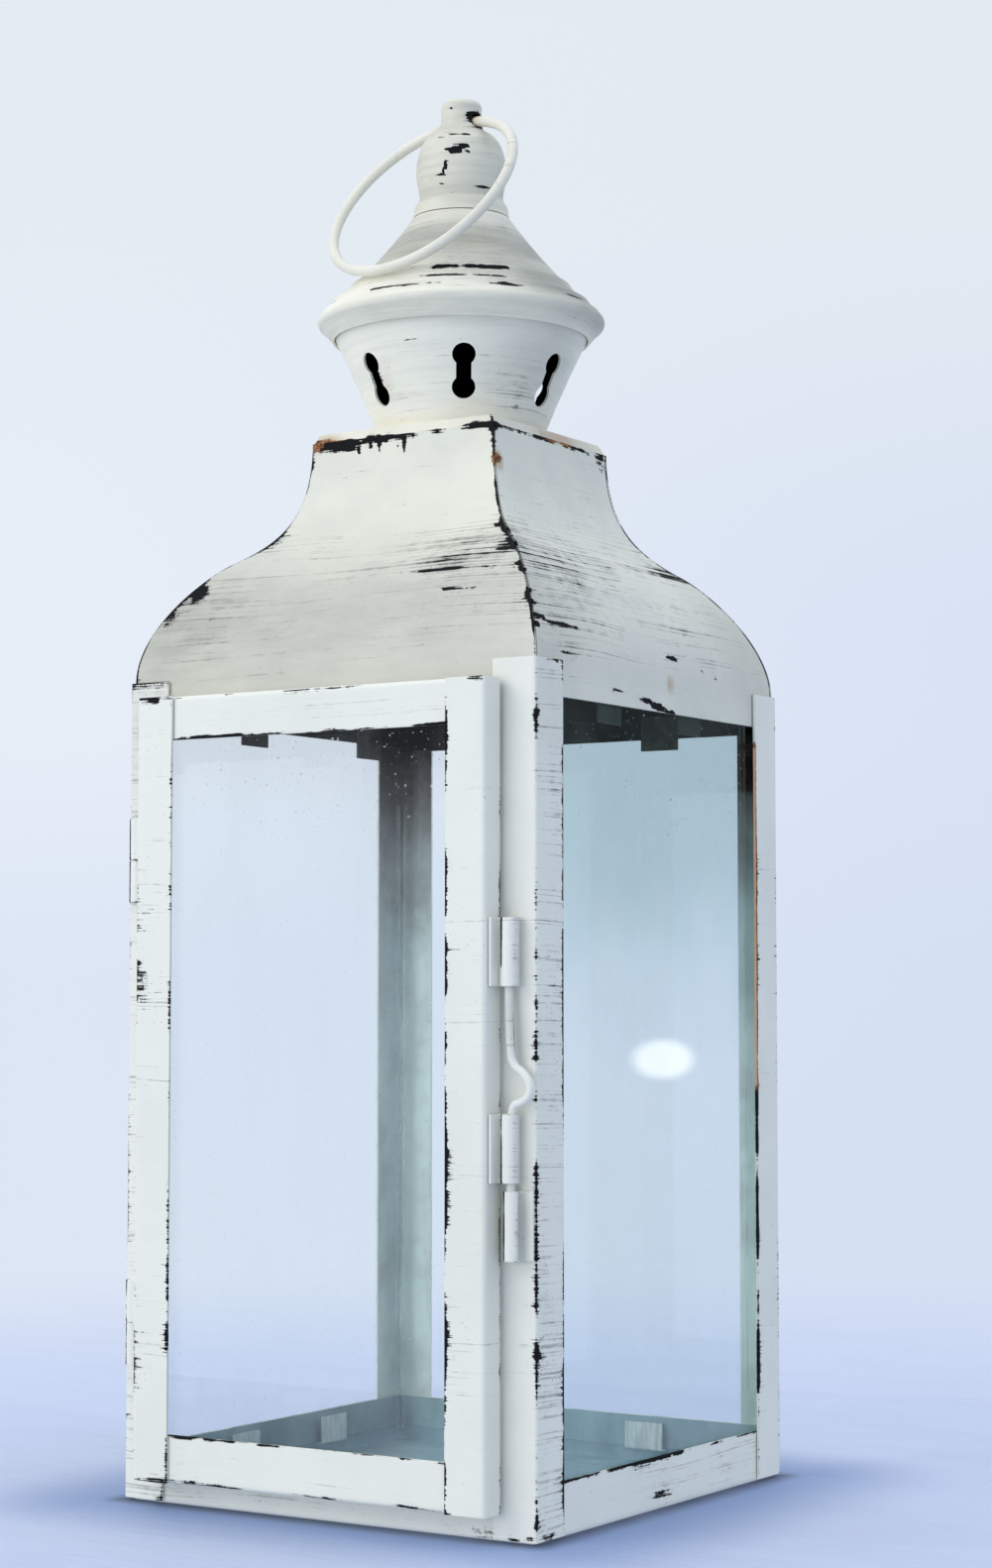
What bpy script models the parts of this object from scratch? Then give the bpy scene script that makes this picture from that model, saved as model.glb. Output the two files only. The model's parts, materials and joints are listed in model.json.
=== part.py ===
"""Candle lantern in painted sheet metal and glass.

A square body of four corner posts stands in a shallow base pan. Three sides hold fixed panes in
bent clips, and the fourth is a framed glass door on two rolled hinges with a sliding wire bolt.
Four ogee panels make the roof. They carry a top plate, a flared chimney with slots, a spun cap,
a finial, and a loose carrying ring through the finial's cross hole.

Frame: metres, +Z up, origin on the lantern's axis at the floor. The door is the -Y face, its
hinges are at -X and its bolt is at +X.
"""

from math import asin, cos, degrees, pi, radians, sin, tan

import bmesh
import bpy
from mathutils import Matrix, Vector

# --- driving dimensions -------------------------------------------------------------------
GAP = 0.0003                    # clearance between pieces that touch
SHEET = 0.0008                  # thickness of the sheet metal
BODY_HALF = 0.075               # half the width over the corner posts
POST_FLANGE = 0.015
POST_BOTTOM = 0.0008             # the posts stop just short of the floor
POST_TOP = 0.253
FRAME_HALF = BODY_HALF - SHEET - GAP      # outer face of the pan and the roof skirt
PAN_HEIGHT = 0.016
POST_BEND = 0.0006              # bend radii at the middle of the sheet
PAN_BEND = 0.001

GLASS = 0.002
PANE_OUTER = FRAME_HALF - SHEET - GAP     # outer face of a fixed pane
PANE_INNER = PANE_OUTER - GLASS
PANE_HALF_WIDTH = 0.070
PANE_BOTTOM = 0.0058
PANE_TOP = 0.248

CLIP_SHEET = 0.0006
CLIP_WIDTH = 0.014
CLIP_BEND = 0.0004
CLIP_SHADE = 0.6                # the clips are greyer than the frame
CLIP_LOWER_TOP = 0.014          # upper end of a lower clip's tab
CLIP_UPPER_BOTTOM = 0.237       # lower end of an upper clip's tab

SKIRT_BOTTOM = 0.241
SIDE_SKIRT_BOTTOM = 0.2422      # the right and left panels are cut a little shorter
ROOF_SHOULDER = (0.053, 0.2913)           # half width and height where the ogee turns over
ROOF_TOP_HALF = 0.0343
ROOF_TOP = 0.3314
ROOF_STEPS = 9                  # segments of each half of the ogee
PLATE_RIM_HALF = 0.0342
PLATE_TOP_HALF = 0.0326
PLATE_BASE = 0.3321             # lower edge of the plate's sloping rim, on the panels' tops
PLATE_HEIGHT = 0.0025
PLATE_HOLE = 0.024

CHIMNEY_BASE = PLATE_BASE + PLATE_HEIGHT + GAP
CHIMNEY_BASE_RADIUS = 0.0265
CHIMNEY_FLARE = 0.40            # growth of the radius with height at the base
CHIMNEY_CURVE = 1.36            # how the flare itself grows, per metre
CHIMNEY_TOP = 0.3684
SLOT_CENTRE = 0.3506            # height of the slots' centres
SLOT_END_RADIUS = 0.0037
SLOT_END_SPACING = 0.0105
SLOT_NECK_HALF = 0.0024
SLOT_FIRST = -55.4              # direction of the first slot, degrees about +Z
SLOT_STEPS = (0, 55, 94, 134, 196, 252, 304)         # punched by hand, so not quite evenly

CAP_TOP = 0.4069
CAP_TOP_RADIUS = 0.0157
CAP_RIM_RADIUS = 0.0466
CAP_RIM_HEIGHT = 0.3725
CAP_LIP = 0.3664
CAP_LIP_RADIUS = 0.0416
CAP_ROLL = 0.0020               # radius of the rolled rim
FINIAL_TOP = 0.4462
FINIAL_EDGE = 0.0025            # rounding of the crown's edge
RING_HOLE_HEIGHT = 0.4387
RING_HOLE_RADIUS = 0.0024
RING_RADIUS = 0.034             # to the middle of the wire
RING_WIRE = 0.0017
RING_SEAT = 0.00033             # the wire crosses the hole this far past its axis
RING_TURN = -7.0                # direction of the cross hole, degrees about +Z
RING_LEAN = 35.3                # from hanging straight down, where the ring rests on the cap

DOOR_HALF = 0.064
DOOR_FRONT = -0.0853
DOOR_BACK = -0.077              # rear edges of the door's side returns
DOOR_BOTTOM = 0.0082
DOOR_TOP = 0.247
DOOR_BEND = 0.0011              # bend radius at the middle of the sheet
STILE_INNER = 0.0503
RAIL_TOP_WIDTH = 0.0135
RAIL_BOTTOM_WIDTH = 0.0145
RAIL_HALF = 0.0622
RAIL_FRONT = DOOR_FRONT + SHEET + GAP
DOOR_PANE_FRONT = RAIL_FRONT + SHEET + GAP
DOOR_PANE_HALF = 0.0615
DOOR_CLIP_PLACES = (-0.031, 0.028)
DOOR_CLIP_TABS = {"upper": 0.009, "lower": 0.007}

KNUCKLE_X = 0.0685              # distance of the hinge and bolt axes from the middle
KNUCKLE_Y = -0.0785
KNUCKLE_RADIUS = 0.0024         # to the middle of the rolled sheet
BARREL_SHIFT = -0.0003          # the bolt's barrels and keeper sit a little out of line with it
KEEPER_SHIFT = 0.0005
LEAF_START = 0.0016             # from the door's front to the leaf's edge
LEAF_FOOT = 0.0016              # from a post knuckle's axis to where its leaf lies flat
LEAF_TURN = 150.0               # direction, seen from the axis, where a leaf meets its knuckle
PIN_RADIUS = 0.0016
HINGE_BOTTOMS = {"lower": 0.042, "upper": 0.184}
HINGE_HEIGHT = 0.026
PIN_HEADS = (0.0006, 0.0008)    # how far a pin stands out below and above its knuckles
BOLT_WIRE = 0.0012
BARREL_SPANS = {"lower": (0.1019, 0.1215), "upper": (0.1579, 0.1777)}
KEEPER_SPAN = (0.0799, 0.0997)
BOLT_TOP = 0.1762
BOLT_TIP = 0.0832

ROUND_STEPS = 40                # segments of the turned pieces

parts = bpy.data.collections.new("candle_lantern")
cutters = bpy.data.collections.new("cutters")


# --- helpers ------------------------------------------------------------------------------
def clear_scene():
    for item in list(bpy.data.objects):
        bpy.data.objects.remove(item, do_unlink=True)
    for collection in (parts, cutters):
        bpy.context.scene.collection.children.link(collection)


def finish_material(name, colour, roughness, metallic, alpha=1.0):
    material = bpy.data.materials.new(name)
    material.use_nodes = True
    shader = material.node_tree.nodes["Principled BSDF"]
    shader.inputs["Base Color"].default_value = (*colour, 1.0)
    shader.inputs["Roughness"].default_value = roughness
    shader.inputs["Metallic"].default_value = metallic
    shader.inputs["Alpha"].default_value = alpha
    return material


def painted(name, shade=0.78):
    """Creamy white paint, a little darker or lighter from piece to piece."""
    return finish_material(name + "_paint", (shade, shade, shade * 0.94), 0.5, 0.0)


def clear_glass(name):
    return finish_material(name + "_glass", (0.86, 0.93, 0.94), 0.05, 0.0, alpha=0.3)


def add_part(name, data, material, pivot=None):
    """Make an object of a mesh or a curve, and hang it on a pivot's empty if it moves."""
    item = bpy.data.objects.new(name, data)
    parts.objects.link(item)
    if not data.materials:
        data.materials.append(material)
    if pivot is not None:
        item.parent = pivot
        item.matrix_parent_inverse = Matrix.Translation(-pivot.location)
    return item


def pivot_at(name, location):
    empty = bpy.data.objects.new(name, None)
    empty.location = location
    empty.empty_display_size = 0.02
    parts.objects.link(empty)
    return empty


def to_mesh(name, maker):
    """Run a bmesh maker and return its mesh."""
    bm = bmesh.new()
    maker(bm)
    mesh = bpy.data.meshes.new(name)
    bm.to_mesh(mesh)
    bm.free()
    return mesh


def smooth(mesh, angle=35.0):
    mesh.shade_smooth()
    mesh.set_sharp_from_angle(angle=radians(angle))


def solidify(item, thickness, offset=0.0):
    shell = item.modifiers.new("thickness", "SOLIDIFY")
    shell.thickness = thickness
    shell.offset = offset
    shell.use_even_offset = True
    return shell


def cut(item, cutter):
    hole = item.modifiers.new("cut_" + cutter.name, "BOOLEAN")
    hole.operation = "DIFFERENCE"
    hole.object = cutter


def add_cutter(name, mesh):
    cutter = bpy.data.objects.new(name, mesh)
    cutter.hide_render = True
    cutter.display_type = "WIRE"
    cutters.objects.link(cutter)
    return cutter


def arc(centre, radius, start, end, steps):
    """Points along a circle from one angle to another, in degrees."""
    angles = [radians(start + (end - start) * i / steps) for i in range(steps + 1)]
    return [(centre[0] + radius * cos(a), centre[1] + radius * sin(a)) for a in angles]


def bezier(p0, p1, p2, p3, steps):
    points = []
    for i in range(steps + 1):
        t = i / steps
        weights = ((1 - t) ** 3, 3 * t * (1 - t) ** 2, 3 * t * t * (1 - t), t ** 3)
        points.append(tuple(sum(w * p[k] for w, p in zip(weights, (p0, p1, p2, p3)))
                            for k in (0, 1)))
    return points


def rounded_corner(before, corner, after, radius, steps=4):
    """A bend of the given radius between two straight runs of a sheet's outline."""
    back = (Vector(before) - Vector(corner)).normalized()
    ahead = (Vector(after) - Vector(corner)).normalized()
    half = back.angle(ahead) / 2
    reach = radius / tan(half)
    middle = Vector(corner) + (back + ahead).normalized() * radius / sin(half)
    first = Vector(corner) + back * reach - middle
    last = Vector(corner) + ahead * reach - middle
    points = []
    for i in range(steps + 1):
        spoke = first.lerp(last, i / steps).normalized() * radius
        points.append(tuple(middle + spoke))
    return points


AXES = {"x": (1, 2, 0), "y": (0, 2, 1), "z": (0, 1, 2)}


def sheet_mesh(name, path, axis, low, high):
    """An open strip: a path in the plane across an axis, drawn out along that axis."""
    first, second, along = AXES[axis]

    def maker(bm):
        rows = []
        for level in (low, high):
            row = []
            for point in path:
                place = [0.0, 0.0, 0.0]
                place[first], place[second], place[along] = point[0], point[1], level
                row.append(bm.verts.new(place))
            rows.append(row)
        for i in range(len(path) - 1):
            bm.faces.new((rows[0][i], rows[0][i + 1], rows[1][i + 1], rows[1][i]))

    mesh = to_mesh(name, maker)
    smooth(mesh)
    return mesh


def bent_sheet(name, path, axis, low, high, material, pivot=None, thickness=SHEET):
    item = add_part(name, sheet_mesh(name, path, axis, low, high), material, pivot)
    solidify(item, thickness)
    return item


def box_part(name, low, high, material, pivot=None):
    centre = (Vector(low) + Vector(high)) / 2
    size = Vector(high) - Vector(low)

    def maker(bm):
        bmesh.ops.create_cube(bm, size=1.0)
        bmesh.ops.scale(bm, vec=size, verts=bm.verts)
        bmesh.ops.translate(bm, vec=centre, verts=bm.verts)

    return add_part(name, to_mesh(name, maker), material, pivot)


def turned_part(name, profile, material, steps=ROUND_STEPS, thickness=SHEET):
    """A spun shell: its outer profile runs from top to bottom and is turned about +Z."""
    def maker(bm):
        verts = [bm.verts.new((radius, 0.0, height)) for radius, height in profile]
        for upper, lower in zip(verts, verts[1:]):
            bm.edges.new((upper, lower))

    item = add_part(name, to_mesh(name, maker), material)
    screw = item.modifiers.new("turn", "SCREW")
    screw.angle = 2 * pi
    screw.steps = steps
    screw.render_steps = steps
    screw.use_merge_vertices = True
    screw.merge_threshold = 0.00001
    screw.use_smooth_shade = True
    solidify(item, thickness, offset=-1.0)
    return item


def round_bar(name, radius, centre, low, high, material, pivot=None, steps=20):
    """A straight pin along +Z with chamfered ends."""
    def maker(bm):
        bmesh.ops.create_cone(bm, cap_ends=True, segments=steps, radius1=radius,
                              radius2=radius, depth=high - low)
        place = (centre[0], centre[1], (low + high) / 2)
        bmesh.ops.translate(bm, vec=place, verts=bm.verts)
        rims = [edge for edge in bm.edges if abs(edge.verts[0].co.z - edge.verts[1].co.z) < 1e-6]
        bmesh.ops.bevel(bm, geom=rims, offset=radius * 0.25, segments=1, affect="EDGES")

    mesh = to_mesh(name, maker)
    smooth(mesh)
    return add_part(name, mesh, material, pivot)


# --- base pan and corner posts ------------------------------------------------------------
def build_base_pan():
    """A square tray with its rim up, bent from one sheet."""
    def maker(bm):
        bmesh.ops.create_cube(bm, size=1.0)
        bmesh.ops.scale(bm, vec=(2 * FRAME_HALF, 2 * FRAME_HALF, PAN_HEIGHT), verts=bm.verts)
        bmesh.ops.translate(bm, vec=(0, 0, PAN_HEIGHT / 2), verts=bm.verts)
        lid = [face for face in bm.faces if face.normal.z > 0.5]
        bmesh.ops.delete(bm, geom=lid, context="FACES")
        bends = [edge for edge in bm.edges if not edge.is_boundary]
        bmesh.ops.bevel(bm, geom=bends, offset=PAN_BEND, segments=2, affect="EDGES", profile=0.5)

    mesh = to_mesh("base_pan", maker)
    smooth(mesh)
    solidify(add_part("base_pan", mesh, painted("base_pan")), SHEET, offset=-1.0)


def build_posts():
    """Four angle posts, one mesh turned to each corner."""
    reach = BODY_HALF - SHEET / 2
    edge = BODY_HALF - POST_FLANGE
    path = [(edge, -reach)]
    path += rounded_corner((edge, -reach), (reach, -reach), (reach, -edge), POST_BEND)
    path += [(reach, -edge)]
    mesh = sheet_mesh("corner_post", path, "z", POST_BOTTOM, POST_TOP)
    paint = painted("posts")
    corners = ("post_front_right", "post_back_right", "post_back_left", "post_front_left")
    for quarter, name in enumerate(corners):
        post = add_part(name, mesh, paint)
        post.rotation_euler.z = quarter * pi / 2
        solidify(post, SHEET)


# --- fixed panes and their clips ----------------------------------------------------------
WALLS = {"right": 0, "back": 1, "left": 2}                 # quarter turns from the +X side
UPPER_CLIPS = {"right": (-0.0275, 0.0220), "back": (-0.0325, 0.0360), "left": (-0.0495, 0.0160)}
LOWER_CLIPS = {"right": (-0.0310, 0.0270), "back": (-0.0255, 0.0290), "left": (-0.0300, 0.0185)}


def clip_path(edge_height, tab_end):
    """From the wall, over or under the pane's edge, then along its inner face."""
    outer = PANE_OUTER - CLIP_SHEET / 2
    inner = PANE_INNER - GAP - CLIP_SHEET / 2
    corner = (inner, edge_height)
    bend = rounded_corner((outer, edge_height), corner, (inner, tab_end), CLIP_BEND, steps=3)
    return [(outer, edge_height)] + bend + [(inner, tab_end)]


def build_panes():
    for wall, quarter in WALLS.items():
        pane = box_part("pane_" + wall, (PANE_INNER, -PANE_HALF_WIDTH, PANE_BOTTOM),
                        (PANE_OUTER, PANE_HALF_WIDTH, PANE_TOP), clear_glass("pane_" + wall))
        pane.rotation_euler.z = quarter * pi / 2


def build_clips():
    rest = GAP + CLIP_SHEET / 2
    rows = (("upper", UPPER_CLIPS, PANE_TOP + rest, CLIP_UPPER_BOTTOM),
            ("lower", LOWER_CLIPS, PANE_BOTTOM - rest, CLIP_LOWER_TOP))
    paint = painted("clips", CLIP_SHADE)
    for level, places, edge_height, tab_end in rows:
        path = clip_path(edge_height, tab_end)
        for wall, quarter in WALLS.items():
            for number, place in enumerate(places[wall], start=1):
                name = f"clip_{wall}_{level}_{number}"
                clip = bent_sheet(name, path, "y", place - CLIP_WIDTH / 2,
                                  place + CLIP_WIDTH / 2, paint, thickness=CLIP_SHEET)
                clip.rotation_euler.z = quarter * pi / 2


# --- roof ---------------------------------------------------------------------------------
def roof_profile():
    """Half width and height of the ogee, from the top edge down to the skirt's lower edge."""
    hollow = bezier((ROOF_TOP_HALF, ROOF_TOP), (0.0346, 0.308), (0.0408, 0.2995),
                    ROOF_SHOULDER, ROOF_STEPS)
    crown = bezier(ROOF_SHOULDER, (0.0605, 0.2855), (FRAME_HALF, 0.2690),
                   (FRAME_HALF, POST_TOP), ROOF_STEPS)
    return hollow + crown[1:] + [(FRAME_HALF, SKIRT_BOTTOM)]


def roof_panel_mesh(name, profile, half_widths):
    """One panel: the profile along +X, drawn out to each half width along Y."""
    def maker(bm):
        rows = []
        for (reach, height), half in zip(profile, half_widths):
            rows.append([bm.verts.new((reach, side * half, height)) for side in (-1, 1)])
        for upper, lower in zip(rows, rows[1:]):
            bm.faces.new((upper[0], lower[0], lower[1], upper[1]))

    mesh = to_mesh(name, maker)
    smooth(mesh)
    return mesh


def build_roof():
    """The front and back panels run to the corners, and the side panels stop inside them."""
    profile = roof_profile()
    wide = [reach for reach, height in profile]
    narrow = []
    for i, (reach, height) in enumerate(profile):
        before = profile[max(i - 1, 0)]
        after = profile[min(i + 1, len(profile) - 1)]
        slope = (after[0] - before[0]) / (before[1] - after[1])
        narrow.append(reach - SHEET * (1 + slope * slope) ** 0.5 - 1.5 * GAP)
    short = profile[:-1] + [(FRAME_HALF, SIDE_SKIRT_BOTTOM)]
    meshes = {"narrow": roof_panel_mesh("roof_panel_narrow", short, narrow),
              "wide": roof_panel_mesh("roof_panel_wide", profile, wide)}
    panels = (("roof_panel_right", "narrow", 0), ("roof_panel_back", "wide", 1),
              ("roof_panel_left", "narrow", 2), ("roof_panel_front", "wide", 3))
    paint = painted("roof")
    for name, kind, quarter in panels:
        panel = add_part(name, meshes[kind], paint)
        panel.rotation_euler.z = quarter * pi / 2
        solidify(panel, SHEET, offset=-1.0)


def build_top_plate():
    """A square plate with a sloping rim, and a round hole under the chimney."""
    def maker(bm):
        bmesh.ops.create_cone(bm, cap_ends=True, segments=4, radius1=PLATE_RIM_HALF * 2 ** 0.5,
                              radius2=PLATE_TOP_HALF * 2 ** 0.5, depth=PLATE_HEIGHT)
        bmesh.ops.rotate(bm, matrix=Matrix.Rotation(pi / 4, 3, "Z"), verts=bm.verts)
        bmesh.ops.translate(bm, vec=(0, 0, PLATE_BASE + PLATE_HEIGHT / 2), verts=bm.verts)
        floor = [face for face in bm.faces if face.normal.z < -0.5]
        bmesh.ops.delete(bm, geom=floor, context="FACES")

    def hole(bm):
        bmesh.ops.create_cone(bm, cap_ends=True, segments=ROUND_STEPS, radius1=PLATE_HOLE,
                              radius2=PLATE_HOLE, depth=0.02)
        bmesh.ops.translate(bm, vec=(0, 0, PLATE_BASE), verts=bm.verts)

    plate = add_part("roof_top_plate", to_mesh("roof_top_plate", maker), painted("top_plate"))
    solidify(plate, SHEET, offset=-1.0)
    cut(plate, add_cutter("plate_hole", to_mesh("plate_hole", hole)))


# --- chimney, cap and finial --------------------------------------------------------------
def chimney_radius(height):
    rise = height - CHIMNEY_BASE
    return CHIMNEY_BASE_RADIUS + CHIMNEY_FLARE * rise + CHIMNEY_CURVE * rise * rise


def slot_outline():
    """Two round ends joined by a narrower neck, with its length along Y."""
    start = degrees(asin(SLOT_NECK_HALF / SLOT_END_RADIUS)) - 90
    upper = arc((0, SLOT_END_SPACING / 2), SLOT_END_RADIUS, start, 180 - start, 12)
    return upper + [(-x, -y) for x, y in upper]


def slot_cutter_mesh():
    """The slot's outline as a flat curve, given depth and turned into a closed mesh."""
    curve = bpy.data.curves.new("slot_outline", "CURVE")
    curve.dimensions = "2D"
    curve.fill_mode = "BOTH"
    curve.extrude = 0.006
    outline = slot_outline()
    spline = curve.splines.new("POLY")
    spline.points.add(len(outline) - 1)
    for point, (x, y) in zip(spline.points, outline):
        point.co = (x, y, 0, 1)
    spline.use_cyclic_u = True
    flat = bpy.data.objects.new("slot_outline", curve)
    cutters.objects.link(flat)
    bpy.context.view_layer.update()
    evaluated = flat.evaluated_get(bpy.context.evaluated_depsgraph_get())
    mesh = bpy.data.meshes.new_from_object(evaluated)
    bm = bmesh.new()
    bm.from_mesh(mesh)
    bmesh.ops.remove_doubles(bm, verts=bm.verts, dist=0.00001)
    bm.to_mesh(mesh)
    bm.free()
    bpy.data.objects.remove(flat, do_unlink=True)
    return mesh


def build_chimney():
    """A flared shell with dumbbell slots punched square to its wall."""
    levels = 7
    drop = (CHIMNEY_TOP - CHIMNEY_BASE) / levels
    heights = [CHIMNEY_TOP - drop * i for i in range(levels + 1)]
    profile = [(chimney_radius(height), height) for height in heights]
    chimney = turned_part("chimney", profile, painted("chimney"))
    wall_lean = CHIMNEY_FLARE + 2 * CHIMNEY_CURVE * (SLOT_CENTRE - CHIMNEY_BASE)
    lean = Vector((1.0, wall_lean)).angle(Vector((1.0, 0.0)))
    mesh = slot_cutter_mesh()
    for number, step in enumerate(SLOT_STEPS, start=1):
        cutter = add_cutter(f"slot_{number}", mesh)
        turn = Matrix.Rotation(radians(SLOT_FIRST + step), 4, "Z")
        reach = Matrix.Translation((chimney_radius(SLOT_CENTRE), 0, SLOT_CENTRE))
        upright = Matrix.Rotation(pi / 2, 4, "Z") @ Matrix.Rotation(pi / 2, 4, "X")
        cutter.matrix_world = turn @ reach @ Matrix.Rotation(lean, 4, "Y") @ upright
        cut(chimney, cutter)


def cap_profile():
    """Flat top, a cone that flares and carries two beads, and a rim rolled under the edge."""
    cone = bezier((CAP_TOP_RADIUS + 0.0004, CAP_TOP - 0.0003), (0.0205, 0.4002),
                  (0.0312, 0.3860), (0.0452, 0.3750), 12)
    beads = {9: 0.0005, 11: 0.0006}
    shaped = []
    for i, (radius, height) in enumerate(cone):
        lift = beads.get(i, 0.0)
        shaped.append((radius + lift * 0.6, height + lift * 0.8))
    rim_centre = (CAP_RIM_RADIUS - CAP_ROLL, CAP_RIM_HEIGHT)
    rim = arc(rim_centre, CAP_ROLL, 50, -75, 5)
    top = [(0.0, CAP_TOP), (CAP_TOP_RADIUS, CAP_TOP)]
    return top + shaped[1:] + rim + [(CAP_LIP_RADIUS, CAP_LIP)]


def build_cap():
    turned_part("chimney_cap", cap_profile(), painted("chimney_cap"))


def finial_profile():
    """A knob with a flat crown, a waist, a bulb and a collar, from top to bottom."""
    crown = [(0.0, FINIAL_TOP), (0.0034, FINIAL_TOP)]
    crown += arc((0.0042, FINIAL_TOP - FINIAL_EDGE), FINIAL_EDGE, 80, 0, 3)
    waist = [(0.0066, 0.4405), (0.0068, 0.4378), (0.0076, 0.4363), (0.0096, 0.4349)]
    bulb = bezier((0.0096, 0.4349), (0.0136, 0.4327), (0.0152, 0.4260), (0.0145, 0.4195), 6)
    collar = [(0.0138, 0.4160), (0.0136, 0.4140), (0.0140, 0.4124), (0.0149, 0.4111),
              (0.0153, 0.4098), (0.0154, 0.4085), (0.0157, CAP_TOP + GAP)]
    return crown + waist + bulb[1:] + collar


def build_finial():
    def bore(bm):
        bmesh.ops.create_cone(bm, cap_ends=True, segments=20, radius1=RING_HOLE_RADIUS,
                              radius2=RING_HOLE_RADIUS, depth=0.03)
        bmesh.ops.rotate(bm, matrix=Matrix.Rotation(pi / 2, 3, "Y"), verts=bm.verts)

    finial = turned_part("finial", finial_profile(), painted("finial"), steps=32)
    hole = add_cutter("ring_hole", to_mesh("ring_hole", bore))
    hole.location.z = RING_HOLE_HEIGHT
    hole.rotation_euler.z = radians(RING_TURN)
    cut(finial, hole)


def build_ring():
    """A closed wire ring through the finial, leaning forward on to the cap."""
    bpy.ops.mesh.primitive_torus_add(major_radius=RING_RADIUS, minor_radius=RING_WIRE,
                                     major_segments=60, minor_segments=10)
    ring = bpy.context.object
    ring.name = "ring_handle"
    mesh = ring.data
    mesh.transform(Matrix.Rotation(pi / 2, 4, "X"))
    mesh.transform(Matrix.Translation((0, 0, RING_SEAT - RING_RADIUS)))
    mesh.materials.append(painted("ring_handle"))
    smooth(mesh, 60)
    for collection in list(ring.users_collection):
        collection.objects.unlink(ring)
    parts.objects.link(ring)
    ring.location = (0, 0, RING_HOLE_HEIGHT)
    ring.rotation_euler = (radians(-RING_LEAN), 0, radians(RING_TURN))


# --- door ---------------------------------------------------------------------------------
def build_door_frame(pivot):
    """Two angle stiles lap over two angle rails, all with their returns towards the body."""
    front = DOOR_FRONT + SHEET / 2
    paint = painted("door")
    for side, name in ((-1, "door_stile_hinge"), (1, "door_stile_latch")):
        edge = side * (DOOR_HALF - SHEET / 2)
        inner = (side * STILE_INNER, front)
        back = (edge, DOOR_BACK)
        path = [inner] + rounded_corner(inner, (edge, front), back, DOOR_BEND) + [back]
        bent_sheet(name, path, "z", DOOR_BOTTOM, DOOR_TOP, paint, pivot)
    face = RAIL_FRONT + SHEET / 2
    rails = (("door_rail_top", DOOR_TOP - SHEET / 2, DOOR_TOP - RAIL_TOP_WIDTH),
             ("door_rail_bottom", DOOR_BOTTOM + SHEET / 2, DOOR_BOTTOM + RAIL_BOTTOM_WIDTH))
    for name, edge, inner in rails:
        corner = (face, edge)
        bend = rounded_corner((face, inner), corner, (DOOR_BACK, edge), DOOR_BEND)
        path = [(face, inner)] + bend + [(DOOR_BACK, edge)]
        bent_sheet(name, path, "x", -RAIL_HALF, RAIL_HALF, paint, pivot)


def build_door_glass(pivot):
    low = DOOR_BOTTOM + SHEET + GAP
    high = DOOR_TOP - SHEET - GAP
    box_part("door_pane", (-DOOR_PANE_HALF, DOOR_PANE_FRONT, low),
             (DOOR_PANE_HALF, DOOR_PANE_FRONT + GLASS, high), clear_glass("door_pane"), pivot)
    tab = DOOR_PANE_FRONT + GLASS + GAP + CLIP_SHEET / 2
    foot = DOOR_BACK - GAP
    rows = (("upper", high - CLIP_SHEET / 2, high - DOOR_CLIP_TABS["upper"]),
            ("lower", low + CLIP_SHEET / 2, low + DOOR_CLIP_TABS["lower"]))
    paint = painted("door_clips", CLIP_SHADE)
    for level, edge, tab_end in rows:
        bend = rounded_corner((foot, edge), (tab, edge), (tab, tab_end), CLIP_BEND, steps=3)
        path = [(foot, edge)] + bend + [(tab, tab_end)]
        for number, place in enumerate(DOOR_CLIP_PLACES, start=1):
            bent_sheet(f"clip_door_{level}_{number}", path, "x", place - CLIP_WIDTH / 2,
                       place + CLIP_WIDTH / 2, paint, pivot, thickness=CLIP_SHEET)


# --- rolled hinges, barrels and bolt ------------------------------------------------------
def door_knuckle_path(side, shift=0.0):
    """A leaf on the door's side return that bends away and rolls into a barrel."""
    axis = KNUCKLE_X + shift
    leaf = DOOR_HALF + GAP + SHEET / 2
    spoke = (cos(radians(LEAF_TURN)), sin(radians(LEAF_TURN)))
    lift_off = (axis + KNUCKLE_RADIUS * spoke[0] - leaf) / spoke[1]
    bend = KNUCKLE_Y + KNUCKLE_RADIUS * spoke[1] + lift_off * spoke[0]
    path = [(leaf, DOOR_FRONT + LEAF_START), (leaf, bend)]
    path += arc((axis, KNUCKLE_Y), KNUCKLE_RADIUS, LEAF_TURN, -160, 18)
    return [(side * x, y) for x, y in path]


def post_knuckle_path(side, shift=0.0):
    """A leaf on the corner post's front flange that rolls forward into a barrel."""
    axis = KNUCKLE_X + shift
    leaf = -BODY_HALF - GAP - SHEET / 2
    path = [(BODY_HALF - 0.0006, leaf), (axis + LEAF_FOOT, leaf)]
    path += arc((axis, KNUCKLE_Y), KNUCKLE_RADIUS, 75, 340, 16)
    return [(side * x, y) for x, y in path]


def build_hinges(pivot):
    """Each hinge has the post's knuckle below, the door's knuckle above, and a pin."""
    paint = painted("hinges")
    for level, bottom in HINGE_BOTTOMS.items():
        middle = bottom + HINGE_HEIGHT / 2
        top = bottom + HINGE_HEIGHT
        bent_sheet(f"hinge_{level}_post_leaf", post_knuckle_path(-1), "z", bottom,
                   middle - GAP / 2, paint)
        bent_sheet(f"hinge_{level}_door_leaf", door_knuckle_path(-1), "z",
                   middle + GAP / 2, top, paint, pivot)
        round_bar(f"hinge_{level}_pin", PIN_RADIUS, (-KNUCKLE_X, KNUCKLE_Y),
                  bottom - PIN_HEADS[0], top + PIN_HEADS[1], paint)


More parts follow.
